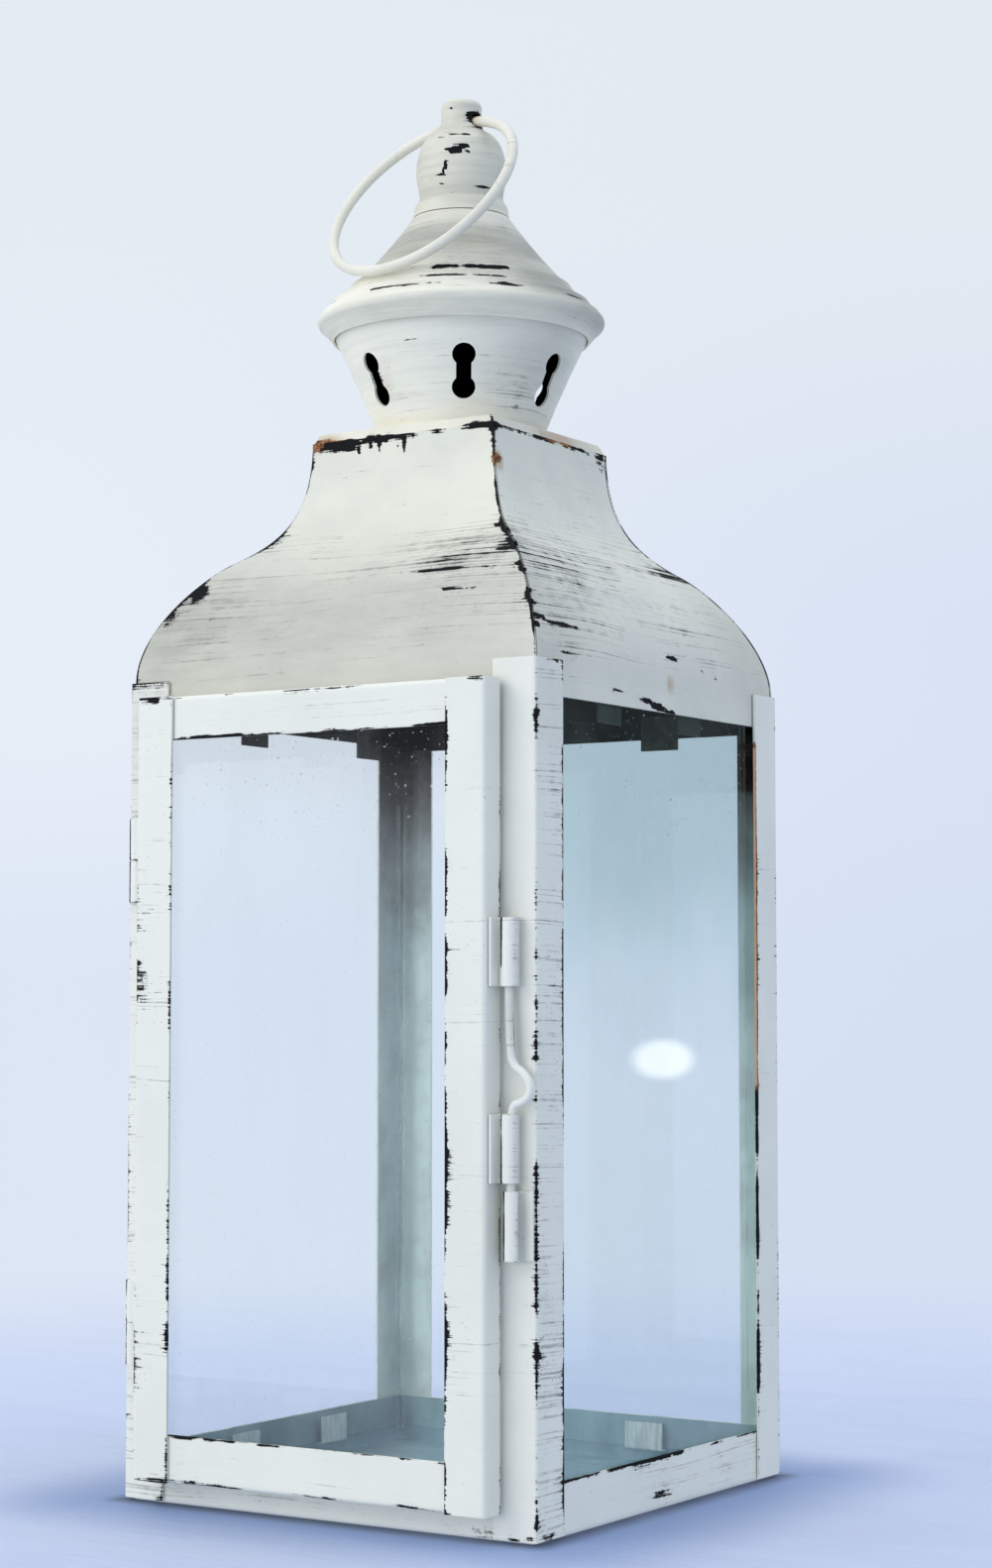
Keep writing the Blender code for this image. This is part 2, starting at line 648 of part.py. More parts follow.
def build_latch(door_pivot, bolt_pivot):
    paint = painted("latch")
    for level, (low, high) in BARREL_SPANS.items():
        bent_sheet(f"latch_barrel_{level}", door_knuckle_path(1, BARREL_SHIFT), "z", low, high,
                   paint, door_pivot)
    bent_sheet("latch_keeper", post_knuckle_path(1, KEEPER_SHIFT), "z", *KEEPER_SPAN, paint)
    build_bolt(bolt_pivot)


def smooth_route(knots, per_span):
    """Points of a Catmull-Rom curve through the knots."""
    points = []
    padded = [knots[0]] + list(knots) + [knots[-1]]
    for i in range(1, len(padded) - 2):
        p0, p1, p2, p3 = (Vector(p) for p in padded[i - 1:i + 3])
        for step in range(per_span):
            t = step / per_span
            points.append(0.5 * (2 * p1 + (p2 - p0) * t + (2 * p0 - 5 * p1 + 4 * p2 - p3) * t * t
                                 + (3 * p1 - p0 - 3 * p2 + p3) * t ** 3))
    points.append(Vector(knots[-1]))
    return points


def build_bolt(pivot):
    """A straight wire with a finger bend that stops on the lower barrel."""
    rest = BARREL_SPANS["lower"][1]
    bend = [(0.0000, 0.0190), (0.0003, 0.0160), (0.0016, 0.0136), (0.0041, 0.0118),
            (0.0061, 0.0094), (0.0066, 0.0067), (0.0053, 0.0044), (0.0030, 0.0033),
            (0.0012, 0.0024), (0.0004, 0.0002), (0.0002, -0.0030)]
    knots = [(-0.0007, BOLT_TOP), (-0.0006, rest + 0.0350), (-0.0003, rest + 0.0230)]
    knots += [(x, rest + z) for x, z in bend]
    knots += [(0.0, rest - 0.0120), (0.0, BOLT_TIP)]
    route = smooth_route([(KNUCKLE_X + x, KNUCKLE_Y, z) for x, z in knots], 3)
    curve = bpy.data.curves.new("latch_bolt", "CURVE")
    curve.dimensions = "3D"
    curve.bevel_depth = BOLT_WIRE
    curve.bevel_resolution = 2
    curve.use_fill_caps = True
    spline = curve.splines.new("POLY")
    spline.points.add(len(route) - 1)
    for point, place in zip(spline.points, route):
        point.co = (*place, 1)
    add_part("latch_bolt", curve, painted("latch_bolt"), pivot)


def build_lantern():
    clear_scene()
    door_pivot = pivot_at("door_pivot", (-KNUCKLE_X, KNUCKLE_Y, 0))
    bolt_pivot = pivot_at("bolt_pivot", (KNUCKLE_X, KNUCKLE_Y, 0))
    build_base_pan()
    build_posts()
    build_panes()
    build_clips()
    build_roof()
    build_top_plate()
    build_chimney()
    build_cap()
    build_finial()
    build_ring()
    build_door_frame(door_pivot)
    build_door_glass(door_pivot)
    build_hinges(door_pivot)
    build_latch(door_pivot, bolt_pivot)


build_lantern()
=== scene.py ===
"""The looks of the candle lantern: aged cream paint rubbed through to dark metal, insides that go dark
with sooting and painted shade, clear panes, and finer meshes for the folded, turned and rolled pieces, in
a plain pale studio whose floor carries a painted shadow round the lantern."""

import json
from math import asin, cos, degrees, pi, radians, sin, tan

import bmesh
import bpy
import numpy as np
from mathutils import Matrix, Vector

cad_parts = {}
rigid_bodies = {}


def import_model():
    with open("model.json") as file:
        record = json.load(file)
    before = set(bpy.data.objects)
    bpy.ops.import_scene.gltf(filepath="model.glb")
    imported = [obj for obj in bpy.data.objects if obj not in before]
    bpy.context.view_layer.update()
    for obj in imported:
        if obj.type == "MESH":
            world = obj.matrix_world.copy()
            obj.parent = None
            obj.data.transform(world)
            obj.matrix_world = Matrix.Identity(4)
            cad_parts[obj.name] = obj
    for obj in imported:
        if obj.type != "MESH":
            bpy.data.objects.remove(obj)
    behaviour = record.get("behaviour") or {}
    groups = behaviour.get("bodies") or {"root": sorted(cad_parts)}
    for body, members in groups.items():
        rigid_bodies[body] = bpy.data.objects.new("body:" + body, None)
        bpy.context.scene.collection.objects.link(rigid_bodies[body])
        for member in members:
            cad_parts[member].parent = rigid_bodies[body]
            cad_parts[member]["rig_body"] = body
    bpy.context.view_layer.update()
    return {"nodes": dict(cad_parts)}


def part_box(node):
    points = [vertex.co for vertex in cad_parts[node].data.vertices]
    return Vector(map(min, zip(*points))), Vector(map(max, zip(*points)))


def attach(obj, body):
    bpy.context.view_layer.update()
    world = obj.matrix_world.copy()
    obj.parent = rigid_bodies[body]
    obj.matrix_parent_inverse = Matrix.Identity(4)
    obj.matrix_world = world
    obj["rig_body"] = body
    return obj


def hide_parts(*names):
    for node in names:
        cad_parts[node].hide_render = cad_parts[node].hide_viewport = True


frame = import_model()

scene = bpy.context.scene
nodes = frame["nodes"]

# --- sizes, in metres -----------------------------------------------------------------------
SHEET = 0.0008                  # thickness of the sheet metal
GAP = 0.0003                    # room between two pieces that lie on each other
MM = 0.001                      # wear is placed in millimetres
FRAME_HALF, _, PAN_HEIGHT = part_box("base_pan")[1]
POST_EDGE, _, POST_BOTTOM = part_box("post_front_right")[0]
BODY_HALF, _, POST_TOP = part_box("post_front_right")[1]
SKIRT_BOTTOM, ROOF_TOP = (corner.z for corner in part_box("roof_panel_front"))
SIDE_SKIRT_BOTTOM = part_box("roof_panel_right")[0].z
ROOF_TOP_HALF = 0.0343
ROOF_SHOULDER = (0.053, 0.2913)
PLATE_LOW, PLATE_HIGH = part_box("roof_top_plate")
PLATE_TOP_HALF = 0.0326
PLATE_HOLE = 0.024
CHIMNEY_BOTTOM, CHIMNEY_TOP = (corner.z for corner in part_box("chimney"))
CHIMNEY_BASE_RADIUS = 0.0265
CHIMNEY_FLARE = 0.40            # the wall's slope at its foot, and half its growth per metre
CHIMNEY_CURVE = 1.36
SLOT_CENTRE = 0.3506
SLOT_END_RADIUS = 0.0037
SLOT_END_SPACING = 0.0105
SLOT_NECK_HALF = 0.0024
SLOT_FIRST = -55.4              # direction of the first slot, and the others' turns from it
SLOT_STEPS = (0, 55, 94, 134, 196, 252, 304)
CAP_BOTTOM, CAP_TOP = (corner.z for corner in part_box("chimney_cap"))
CAP_TOP_RADIUS = 0.0157
CAP_RIM_RADIUS = 0.0466
CAP_RIM_HEIGHT = 0.3725
CAP_ROLL = 0.0020
CAP_LIP_RADIUS = 0.0416
FINIAL_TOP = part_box("finial")[1].z
RING_HOLE_HEIGHT = 0.4387
RING_HOLE_RADIUS = 0.0024
RING_RADIUS = 0.034
RING_WIRE = 0.0017
RING_SEAT = 0.00033             # how far the wire sits above the middle of its hole
RING_TURN = -7.0
RING_LEAN = 35.3
STILE_INNER, DOOR_FRONT, DOOR_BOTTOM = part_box("door_stile_latch")[0]
DOOR_HALF, DOOR_BACK, DOOR_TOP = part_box("door_stile_latch")[1]
DOOR_BEND = 0.0011
RAIL_TOP_WIDTH = 0.0135
RAIL_BOTTOM_WIDTH = 0.0145
RAIL_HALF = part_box("door_rail_top")[1].x
KNUCKLE_X, KNUCKLE_Y = 0.0685, -0.0785
KNUCKLE_RADIUS = 0.0024
LEAF_START = 0.0016
LEAF_FOOT = 0.0016
BARREL_SHIFT = -0.0003
KEEPER_SHIFT = 0.0005
PIN_RADIUS = 0.0016
BOLT_WIRE = 0.0012
MARKED_SIDE = -56.8             # direction of the most marked side, degrees about +Z


# --- paths and grids ------------------------------------------------------------------------
def arc(centre, radius, start, end, steps):
    angles = [radians(start + (end - start) * i / steps) for i in range(steps + 1)]
    return [(centre[0] + radius * cos(a), centre[1] + radius * sin(a)) for a in angles]


def bezier(p0, p1, p2, p3, steps):
    points = []
    for i in range(steps + 1):
        t = i / steps
        weights = ((1 - t) ** 3, 3 * t * (1 - t) ** 2, 3 * t * t * (1 - t), t ** 3)
        points.append(tuple(sum(w * p[k] for w, p in zip(weights, (p0, p1, p2, p3))) for k in (0, 1)))
    return points


def rounded_corner(before, corner, after, radius, steps=7):
    """A bend of the given radius between two straight runs of an outline."""
    back = (Vector(before) - Vector(corner)).normalized()
    ahead = (Vector(after) - Vector(corner)).normalized()
    half = back.angle(ahead) / 2
    middle = Vector(corner) + (back + ahead).normalized() * radius / sin(half)
    first = Vector(corner) + back * (radius / tan(half)) - middle
    last = Vector(corner) + ahead * (radius / tan(half)) - middle
    return [tuple(middle + first.lerp(last, i / steps).normalized() * radius) for i in range(steps + 1)]


def refine(path, step):
    """The same path with points added along its long straight runs."""
    points = [path[0]]
    for start, end in zip(path, path[1:]):
        count = max(1, round((Vector(end) - Vector(start)).length / step))
        points += [tuple(Vector(start).lerp(Vector(end), i / count)) for i in range(1, count + 1)]
    return points


def offset_path(path, distance):
    """The path moved to its left, and further at a bend so that a sheet keeps its thickness."""
    points = np.array(path, float)
    runs = np.diff(points, axis=0)
    runs /= np.linalg.norm(runs, axis=1)[:, None]
    left = np.stack([-runs[:, 1], runs[:, 0]], axis=1)
    before = np.vstack([left[:1], left])
    after = np.vstack([left, left[-1:]])
    normal = before + after
    normal /= np.linalg.norm(normal, axis=1)[:, None]
    stretch = 1 / np.maximum((normal * after).sum(axis=1), 0.5)
    return points + normal * (distance * stretch)[:, None]


def extruded(path, axis, levels):
    """A grid of points: the path in the plane across an axis, repeated at each level along it."""
    first, second, third = {"x": (1, 2, 0), "z": (0, 1, 2)}[axis]
    grid = np.zeros((len(levels), len(path), 3))
    grid[:, :, first] = np.array(path)[None, :, 0]
    grid[:, :, second] = np.array(path)[None, :, 1]
    grid[:, :, third] = np.array(levels)[:, None]
    return grid


def turned(profile, steps):
    """A grid of points: a profile of radius and height turned about +Z."""
    angles = np.arange(steps) * 2 * pi / steps
    profile = np.array(profile)
    return np.stack(
        [
            profile[:, :1] * np.cos(angles), profile[:, :1] * np.sin(angles),
            np.repeat(profile[:, 1:], steps, axis=1)],
        axis=2)


def spun_sheet(profile, steps, closed_top=False, level_foot=True):
    """A sheet turned about +Z, with its profile given from the top down."""
    inner = offset_path(profile, -SHEET)
    if closed_top:
        inner[0] = (profile[0][0], profile[0][1] - SHEET)
    else:
        inner[0, 1] = profile[0][1]
    if level_foot:
        inner[-1, 1] = profile[-1][1]
    return shell(turned(profile, steps), turned(inner, steps), around=True, soft_edge=0.0)


def squared(profile, bend, per_side=48):
    """A grid of points: a profile of half width and height carried round a square with bent
    corners."""
    rows = []
    for half, height in profile:
        radius = min(bend, half * 0.9)
        row = []
        for quarter in range(4):
            turn = Matrix.Rotation(quarter * pi / 2, 2)
            side = [(half, (half - radius) * (2 * i / per_side - 1)) for i in range(per_side)]
            corner = arc((half - radius, half - radius), radius, 0, 90, 6)[:-1]
            row += [tuple(turn @ Vector(p)) for p in side + corner]
        rows.append([(x, y, height) for x, y in row])
    return np.array(rows)


def shell(outer, inner, around=False, soft_edge=0.00012):
    """A closed sheet between two grids of points. Its inner side has the second material."""
    rows, columns = outer.shape[:2]
    bm = bmesh.new()
    sides = []
    for grid in (outer, inner):
        sides.append([[bm.verts.new(point) for point in row] for row in grid])
    across = range(columns if around else columns - 1)
    for index, grid in enumerate(sides):
        for i in range(rows - 1):
            for j in across:
                k = (j + 1) % columns
                corners = [grid[i][j], grid[i][k], grid[i + 1][k], grid[i + 1][j]]
                face = bm.faces.new(corners if index == 0 else corners[::-1])
                face.material_index = index
    for i, flip in ((0, False), (rows - 1, True)):
        for j in across:
            k = (j + 1) % columns
            corners = [sides[1][i][j], sides[1][i][k], sides[0][i][k], sides[0][i][j]]
            bm.faces.new(corners[::-1] if flip else corners)
    if not around:
        for j, flip in ((0, True), (columns - 1, False)):
            for i in range(rows - 1):
                corners = [sides[1][i][j], sides[1][i + 1][j], sides[0][i + 1][j], sides[0][i][j]]
                bm.faces.new(corners if flip else corners[::-1])
    bmesh.ops.remove_doubles(bm, verts=bm.verts, dist=0.000002)
    bmesh.ops.recalc_face_normals(bm, faces=bm.faces)
    if soft_edge:
        rims = [e for e in bm.edges if e.is_manifold and e.calc_face_angle(0) > radians(50)]
        bmesh.ops.bevel(bm, geom=rims, offset=soft_edge, segments=2, affect="EDGES", clamp_overlap=True)
    return finished_mesh(bm)


def mesh_from(bm):
    mesh = bpy.data.meshes.new("mesh")
    bm.to_mesh(mesh)
    bm.free()
    return mesh


def finished_mesh(bm, angle=40.0):
    """A smooth-shaded mesh that stays sharp at edges bent further than the angle."""
    mesh = mesh_from(bm)
    mesh.shade_smooth()
    mesh.set_sharp_from_angle(angle=radians(angle))
    return mesh


def steps_between(low, high, step):
    """Evenly spaced numbers from low to high, about a step apart."""
    count = max(1, round((high - low) / step))
    return [low + (high - low) * i / count for i in range(count + 1)]


def folded_sheet(path, axis, low, high, step=0.003, fine=0.0012, outside=1):
    """A sheet folded along a path and drawn out along an axis. outside is 1 where the visible
    side is to the path's left."""
    path = refine(path, fine)
    levels = steps_between(low, high, step)
    return shell(
        *(extruded(offset_path(path, side * SHEET / 2), axis, levels) for side in (outside, -outside)))


def tube(route, radius, sides=20):
    """A round wire along a route, with rounded ends."""
    points = [Vector(p) for p in route]
    bm = bmesh.new()
    first = (points[1] - points[0]).normalized()
    last = (points[-1] - points[-2]).normalized()
    dome = [(radius * (1 - sin(radians(turn))), radius * cos(radians(turn))) for turn in (80, 55, 30, 0)]
    sections = [(points[0] + first * rise, size) for rise, size in dome]
    sections += [
        (p, radius) for p in points[1:-1]
        if (p - points[0]).length > radius and (p - points[-1]).length > radius]
    sections += [(points[-1] - last * rise, size) for rise, size in dome[::-1]]
    side = Vector((0, 1, 0))
    angles = [2 * pi * k / sides for k in range(sides)]
    rings = []
    for i, (centre, size) in enumerate(sections):
        ahead = sections[min(i + 1, len(sections) - 1)][0] - sections[max(i - 1, 0)][0]
        ahead.normalize()
        u = (side - ahead * side.dot(ahead)).normalized()
        v = ahead.cross(u)
        rings.append([bm.verts.new(centre + (u * cos(a) + v * sin(a)) * size) for a in angles])
    for a, b in zip(rings, rings[1:]):
        for k in range(sides):
            bm.faces.new((a[k], a[(k + 1) % sides], b[(k + 1) % sides], b[k]))
    bm.faces.new(rings[0][::-1])
    bm.faces.new(rings[-1])
    bmesh.ops.recalc_face_normals(bm, faces=bm.faces)
    return finished_mesh(bm, 60)


# --- wear -----------------------------------------------------------------------------------
def along(start, end, reach, strength):
    """Wear along an edge, which fades out at its reach."""
    return ("line", np.array(start, float), np.array(end, float), reach, strength)


def spots(*rows):
    """Soft patches of wear, each with its centre, its reach along each axis and its strength."""
    return [("spot", np.array(row[:3], float), np.array(row[3:6], float), None, row[6]) for row in rows]


def worn_edges(*edges):
    """Wear at edges: a bare line on each, chips beside it and fine strokes further in. An edge
    has two ends, an amount and, where its wear is wider or narrower than usual, a scale."""
    return [
        along(start, end, reach * scale, strength * amount) for start, end, amount, *scales in edges
        for scale in scales or [1] for reach, strength in ((0.9, 1.20), (2.4, 0.58), (8.5, 0.26))]


def around_z(radius, direction, height):
    """The point at a radius and a direction in degrees about +Z."""
    return (radius * cos(radians(direction)), radius * sin(radians(direction)), height)


def wear_amount(points, rules):
    """The strongest line at each point, plus every spot."""
    lines = np.zeros(len(points))
    spots = np.zeros(len(points))
    for kind, a, b, reach, strength in rules:
        if kind == "line":
            run = b - a
            t = np.clip(((points - a) @ run) / max(run @ run, 1e-12), 0, 1)
            distance = np.linalg.norm(points - (a + t[:, None] * run), axis=1)
            lines = np.maximum(lines, strength * np.clip(1 - distance / reach, 0, 1))
        else:
            spots += strength * np.exp(-(((points - a) / b) ** 2).sum(axis=1))
    return lines + spots


def marks(mesh, layers):
    """Write each kind of wear as a value on the mesh's points."""
    points = np.zeros(len(mesh.vertices) * 3)
    mesh.vertices.foreach_get("co", points)
    points = points.reshape(-1, 3) / MM
    for name in ("wear", "haze", "rust", "dull"):
        values = wear_amount(points, layers.get(name, []))
        layer = mesh.attributes.new(name, "FLOAT", "POINT")
        layer.data.foreach_set("value", values.astype(np.float32))


def turned_rules(rules, quarter):
    """The same wear on a piece turned by quarter turns about +Z."""
    turn = np.array(Matrix.Rotation(quarter * pi / 2, 3, "Z"))
    made = []
    for kind, a, b, reach, strength in rules:
        if kind == "line":
            made.append((kind, turn @ a, turn @ b, reach, strength))
        else:
            made.append((kind, turn @ a, np.abs(turn @ b), reach, strength))
    return made


def all_round(rules):
    """The same wear on all four sides."""
    return [rule for quarter in range(4) for rule in turned_rules(rules, quarter)]


# --- materials ------------------------------------------------------------------------------
class Tree:
    """A node tree, with one short call for each kind of node."""

    def __init__(self, tree, space="Object"):
        self.tree = tree
        self.place = self.node("TexCoord").outputs[space]

    def node(self, kind, **settings):
        made = self.tree.nodes.new("ShaderNode" + kind)
        for key, value in settings.items():
            setattr(made, key, value)
        return made

    def put(self, socket, value):
        if isinstance(value, bpy.types.NodeSocket):
            self.tree.links.new(value, socket)
        else:
            socket.default_value = value

    def math(self, operation, a, b=0.0):
        made = self.node("Math", operation=operation)
        self.put(made.inputs[0], a)
        self.put(made.inputs[1], b)
        return made.outputs[0]

    def sum(self, *terms):
        total = terms[0]
        for term in terms[1:]:
            total = self.math("ADD", total, term)
        return total

    def product(self, *terms):
        total = terms[0]
        for term in terms[1:]:
            total = self.math("MULTIPLY", total, term)
        return total

    def vector_math(self, operation, a, b=(0.0, 0.0, 0.0)):
        made = self.node("VectorMath", operation=operation)
        self.put(made.inputs[0], a)
        self.put(made.inputs[1], b)
        return made.outputs

    def scaled(self, scale, vector=None):
        scale = (scale,) * 3 if isinstance(scale, (int, float)) else scale
        return self.vector_math("MULTIPLY", vector or self.place, scale)[0]

    def noise(self, scale, detail=3.0, roughness=0.55, vector=None, shift=0.0, output="Fac"):
        made = self.node("TexNoise")
        for name, value in (("Scale", 1.0), ("Detail", detail), ("Roughness", roughness)):
            made.inputs[name].default_value = value
        place = self.scaled(scale, vector)
        if shift:
            place = self.vector_math("ADD", place, (shift, shift * 0.7, shift * 1.3))[0]
        self.put(made.inputs["Vector"], place)
        return made.outputs[output]

    def step(self, value, low, high, to_low=0.0, to_high=1.0):
        made = self.node("MapRange", interpolation_type="SMOOTHSTEP")
        for socket, number in zip(made.inputs[1:5], (low, high, to_low, to_high)):
            socket.default_value = number
        self.put(made.inputs[0], value)
        return made.outputs[0]

    def swing(self, value, amount):
        """A noise made to swing by amount about nought."""
        return self.math("MULTIPLY", self.math("SUBTRACT", value, 0.5), amount)

    def mix(self, share, a, b):
        made = self.node("Mix", data_type="RGBA")
        self.put(made.inputs["Factor"], share)
        for socket, colour in ((made.inputs[6], a), (made.inputs[7], b)):
            self.put(socket, (*colour, 1.0) if isinstance(colour, tuple) else colour)
        return made.outputs[2]

    def mix_shaders(self, share, a, b):
        made = self.node("MixShader")
        self.put(made.inputs[0], share)
        self.put(made.inputs[1], a.outputs[0])
        self.put(made.inputs[2], b.outputs[0])
        return made

    def layer(self, name):
        return self.node("Attribute", attribute_name=name).outputs["Fac"]

    def parts(self, vector=None):
        made = self.node("SeparateXYZ")
        self.put(made.inputs[0], vector or self.place)
        return made.outputs


class Material(Tree):
    """A new material's node tree."""

    def __init__(self, name):
        self.material = bpy.data.materials.new(name)
        self.material.use_nodes = True
        super().__init__(self.material.node_tree)
        self.shader = self.tree.nodes["Principled BSDF"]
        self.output = self.tree.nodes["Material Output"]

    def shade(self, name, value):
        self.put(self.shader.inputs[name], value)

    def bump(self, height, distance, strength=1.0):
        made = self.node("Bump")
        for name, value in (("Strength", strength), ("Distance", distance), ("Height", height)):
            self.put(made.inputs[name], value)
        self.shade("Normal", made.outputs[0])

    def glow(self, colour, strength=1.0):
        made = self.node("Emission")
        self.put(made.inputs["Color"], colour)
        self.put(made.inputs["Strength"], strength)
        return made

    def surface(self, made):
        self.put(self.output.inputs["Surface"], made.outputs[0])


DARK_METAL = (0.010, 0.010, 0.011)
FILM = (0.17, 0.17, 0.16)


def aged_paint(name, light, shade, dull=(0.37, 0.36, 0.30), smudge=0.0):
    """Brushed cream paint. Where the wear layer is high it is rubbed through to dark metal, in
    clumps with fine level strokes beside them. The haze layer brings long thin dry streaks, the
    dull layer greys the paint, partly as grey dirt and partly as painted shade, and rust tints both."""
    t = Material(name)
    sway = t.scaled((0.0, 0.0, 0.004), t.noise(16, 1.0, 0.5, output="Color"))
    bent = t.vector_math("ADD", t.place, sway)[0]
    clumps = t.noise(50, 3.0, 0.6, shift=7.7)
    strokes = t.noise((75, 75, 2100), 2.0, 0.6, bent)
    chips = t.noise(720, 4.0, 0.7)
    streaks = t.noise((10, 10, 1700), 3.0, 0.6, bent, shift=3.1)
    broken = t.noise((260, 260, 520), 2.0, 0.5, shift=8.4)
    specks = t.noise(1500, 1.0, 0.5, shift=1.9)
    wear, haze, rust = t.layer("wear"), t.layer("haze"), t.layer("rust")

    lively = t.step(clumps, 0.38, 0.62, 0.28, 1.5)
    bite = t.sum(t.product(wear, lively), t.swing(strokes, 0.95), t.swing(chips, 0.55))
    bare = t.step(bite, 0.44, 0.48)
    thin = t.step(bite, 0.35, 0.46)
    line = t.sum(haze, t.swing(streaks, 2.6), t.swing(broken, 0.7), t.swing(clumps, 0.8))
    dry = t.product(t.step(line, 0.42, 0.90), 0.60)
    black_line = t.step(line, 0.93, 0.99)
    fleck = t.step(t.sum(t.swing(specks, 1.6), t.swing(clumps, 0.6), t.product(haze, 0.25)), 0.46, 0.52)

    mottle = t.noise(26, 4.0, 0.6, shift=5.2)
    paint = t.mix(t.step(mottle, 0.30, 0.70), light, shade)
    # This layer greys the paint: grey dirt in places, and painted shade under rims, on sides turned from
    # the light and on barrels' far sides.
    cloudy = t.product(
        t.layer("dull"), t.step(t.noise((60, 60, 240), 4.0, 0.62, bent, 6.6), 0.25, 0.75, 0.72, 1.02))
    paint = t.mix(cloudy, paint, dull)
    if smudge:
        smear = t.step(t.noise((24, 24, 330), 4.0, 0.62, bent, 4.3), 0.42, 0.70)
        paint = t.mix(t.product(smear, smudge), paint, FILM)
    stain = t.product(t.step(t.sum(rust, t.swing(clumps, 1.0)), 0.18, 0.90), 0.62)
    paint = t.mix(stain, paint, (0.46, 0.28, 0.13))
    paint = t.mix(dry, paint, FILM)
    paint = t.mix(t.product(thin, 0.50), paint, FILM)
    paint = t.mix(t.product(fleck, 0.65), paint, (0.10, 0.09, 0.08))
    brown = t.mix(t.step(chips, 0.42, 0.62), (0.10, 0.045, 0.024), (0.42, 0.19, 0.075))
    brown = t.mix(t.step(rust, 1.6, 2.4), brown, (0.78, 0.47, 0.29))
    rusty = t.step(t.sum(rust, t.swing(chips, 0.9), t.swing(clumps, 0.9)), 0.48, 0.62)
    gone = t.math("MAXIMUM", bare, black_line)
    t.shade("Base Color", t.mix(gone, paint, t.mix(rusty, DARK_METAL, brown)))

    satin = t.step(t.noise(90, 4.0, 0.6, shift=2.4), 0.25, 0.75, 0.38, 0.54)
    t.shade("Roughness", t.sum(satin, t.product(gone, 0.20), t.product(dry, 0.15)))
    relief = t.sum(
        t.product(t.noise((30, 30, 700), 3.0, 0.6, shift=6.0), 0.22),
        t.product(t.noise(900, 2.0, 0.5), 0.12), t.product(gone, -0.75),
        t.product(t.noise(14, 1.0, 0.5), 1.2))
    t.bump(relief, 0.00022, 0.9)
    t.shade("Specular IOR Level", t.step(gone, 0.0, 1.0, 0.42, 0.06))
    return t.material


def sooty_shaded_inside(name, low_colour, high_colour, soot_and_shade_from, soot_and_shade_full):
    """The unlit side: thin greenish paint that goes brown-black further up, partly sooty and partly
    painted shade.
    """
    t = Material(name)
    clouds = t.noise(38, 4.0, 0.6)
    grain = t.noise(420, 4.0, 0.6, shift=2.0)
    runs = t.noise((150, 150, 12), 3.0, 0.6, shift=4.0)
    level = t.math("ADD", t.parts()[2], t.swing(clouds, 0.045))
    # Painted shade and sooting: the inside goes dark further up.
    soot_and_shade = t.step(level, soot_and_shade_from, soot_and_shade_full)
    paint = t.mix(t.step(runs, 0.35, 0.65), low_colour, tuple(c * 0.84 for c in low_colour))
    paint = t.mix(t.step(clouds, 0.42, 0.70), paint, tuple(c * 0.66 for c in low_colour))
    dark = t.mix(t.step(grain, 0.40, 0.62), high_colour, tuple(c * 2.6 for c in high_colour))
    colour = t.mix(soot_and_shade, paint, dark)
    spots = t.step(t.sum(t.swing(grain, 1.2), t.swing(clouds, 0.9)), 0.34, 0.44)
    t.shade("Base Color", t.mix(spots, colour, tuple(c * 2 for c in high_colour)))
    t.shade("Roughness", t.step(clouds, 0.2, 0.8, 0.45, 0.70))
    t.shade("Specular IOR Level", 0.04)
    t.bump(t.sum(grain, t.product(runs, 0.6)), 0.00006, 0.8)
    return t.material


def clip_metal(name):
    """Thin, matt sheet with a little paint left on it, that goes dark higher up: partly sooty and partly
    painted shade under the roof.
    """
    t = Material(name)
    clouds = t.noise(120, 4.0, 0.6)
    scuffs = t.noise((700, 700, 90), 3.0, 0.6)
    bright = t.mix(t.step(scuffs, 0.40, 0.62), (0.72, 0.80, 0.78), (0.54, 0.61, 0.60))
    dull = t.mix(t.step(clouds, 0.35, 0.62), (0.05, 0.045, 0.04), (0.11, 0.09, 0.07))
    # Painted shade and sooting: the clips go dark higher up, under the roof.
    soot_and_shade = t.step(t.math("ADD", t.parts()[2], t.swing(clouds, 0.03)), 0.10, 0.20)
    t.shade("Base Color", t.mix(soot_and_shade, bright, dull))
    t.shade("Roughness", t.step(clouds, 0.3, 0.7, 0.34, 0.55))
    t.shade("Metallic", 0.2)
    t.bump(scuffs, 0.0001, 0.6)
    return t.material


def pane_glass(name, tint, high_shade_tint=None):
    """Clear glass that lamps shine through, with dust that gathers near its edges and top. A second tint
    is painted shade and reflection that darkens and greens its upper part."""
    t = Material(name)
    t.shade("Base Color", (*tint, 1.0))
    t.shade("Roughness", 0.0)
    t.shade("IOR", 1.46)
    t.shade("Transmission Weight", 1.0)
    height = t.parts()[2]
    # Painted shade and reflection: the pane's tint darkens towards its top.
    if high_shade_tint:
        clouds = t.swing(t.noise((22, 22, 14), 3.0, 0.6, shift=3.0), 0.10)
        t.shade("Base Color", t.mix(t.step(t.math("ADD", height, clouds), 0.120, 0.205), tint, high_shade_tint))
    specks = t.step(t.noise(620, 2.0, 0.5), 0.70, 0.76)
    film = t.step(t.noise((30, 30, 14), 4.0, 0.65), 0.42, 0.80)
    near_ends = t.math("MAXIMUM", t.step(height, 0.195, 0.235), t.step(height, 0.022, 0.010))
    dust = t.sum(t.product(specks, t.sum(t.product(near_ends, 0.55), 0.16)), t.product(film, 0.035))
    powder = t.node("BsdfDiffuse")
    powder.inputs["Color"].default_value = (0.80, 0.82, 0.82, 1.0)
    clear = t.node("BsdfTransparent")
    clear.inputs["Color"].default_value = (*tint, 1.0)
    dusty = t.mix_shaders(dust, t.shader, powder)
    final = t.mix_shaders(t.node("LightPath").outputs["Is Shadow Ray"], dusty, clear)
    t.surface(final)
    return t.material


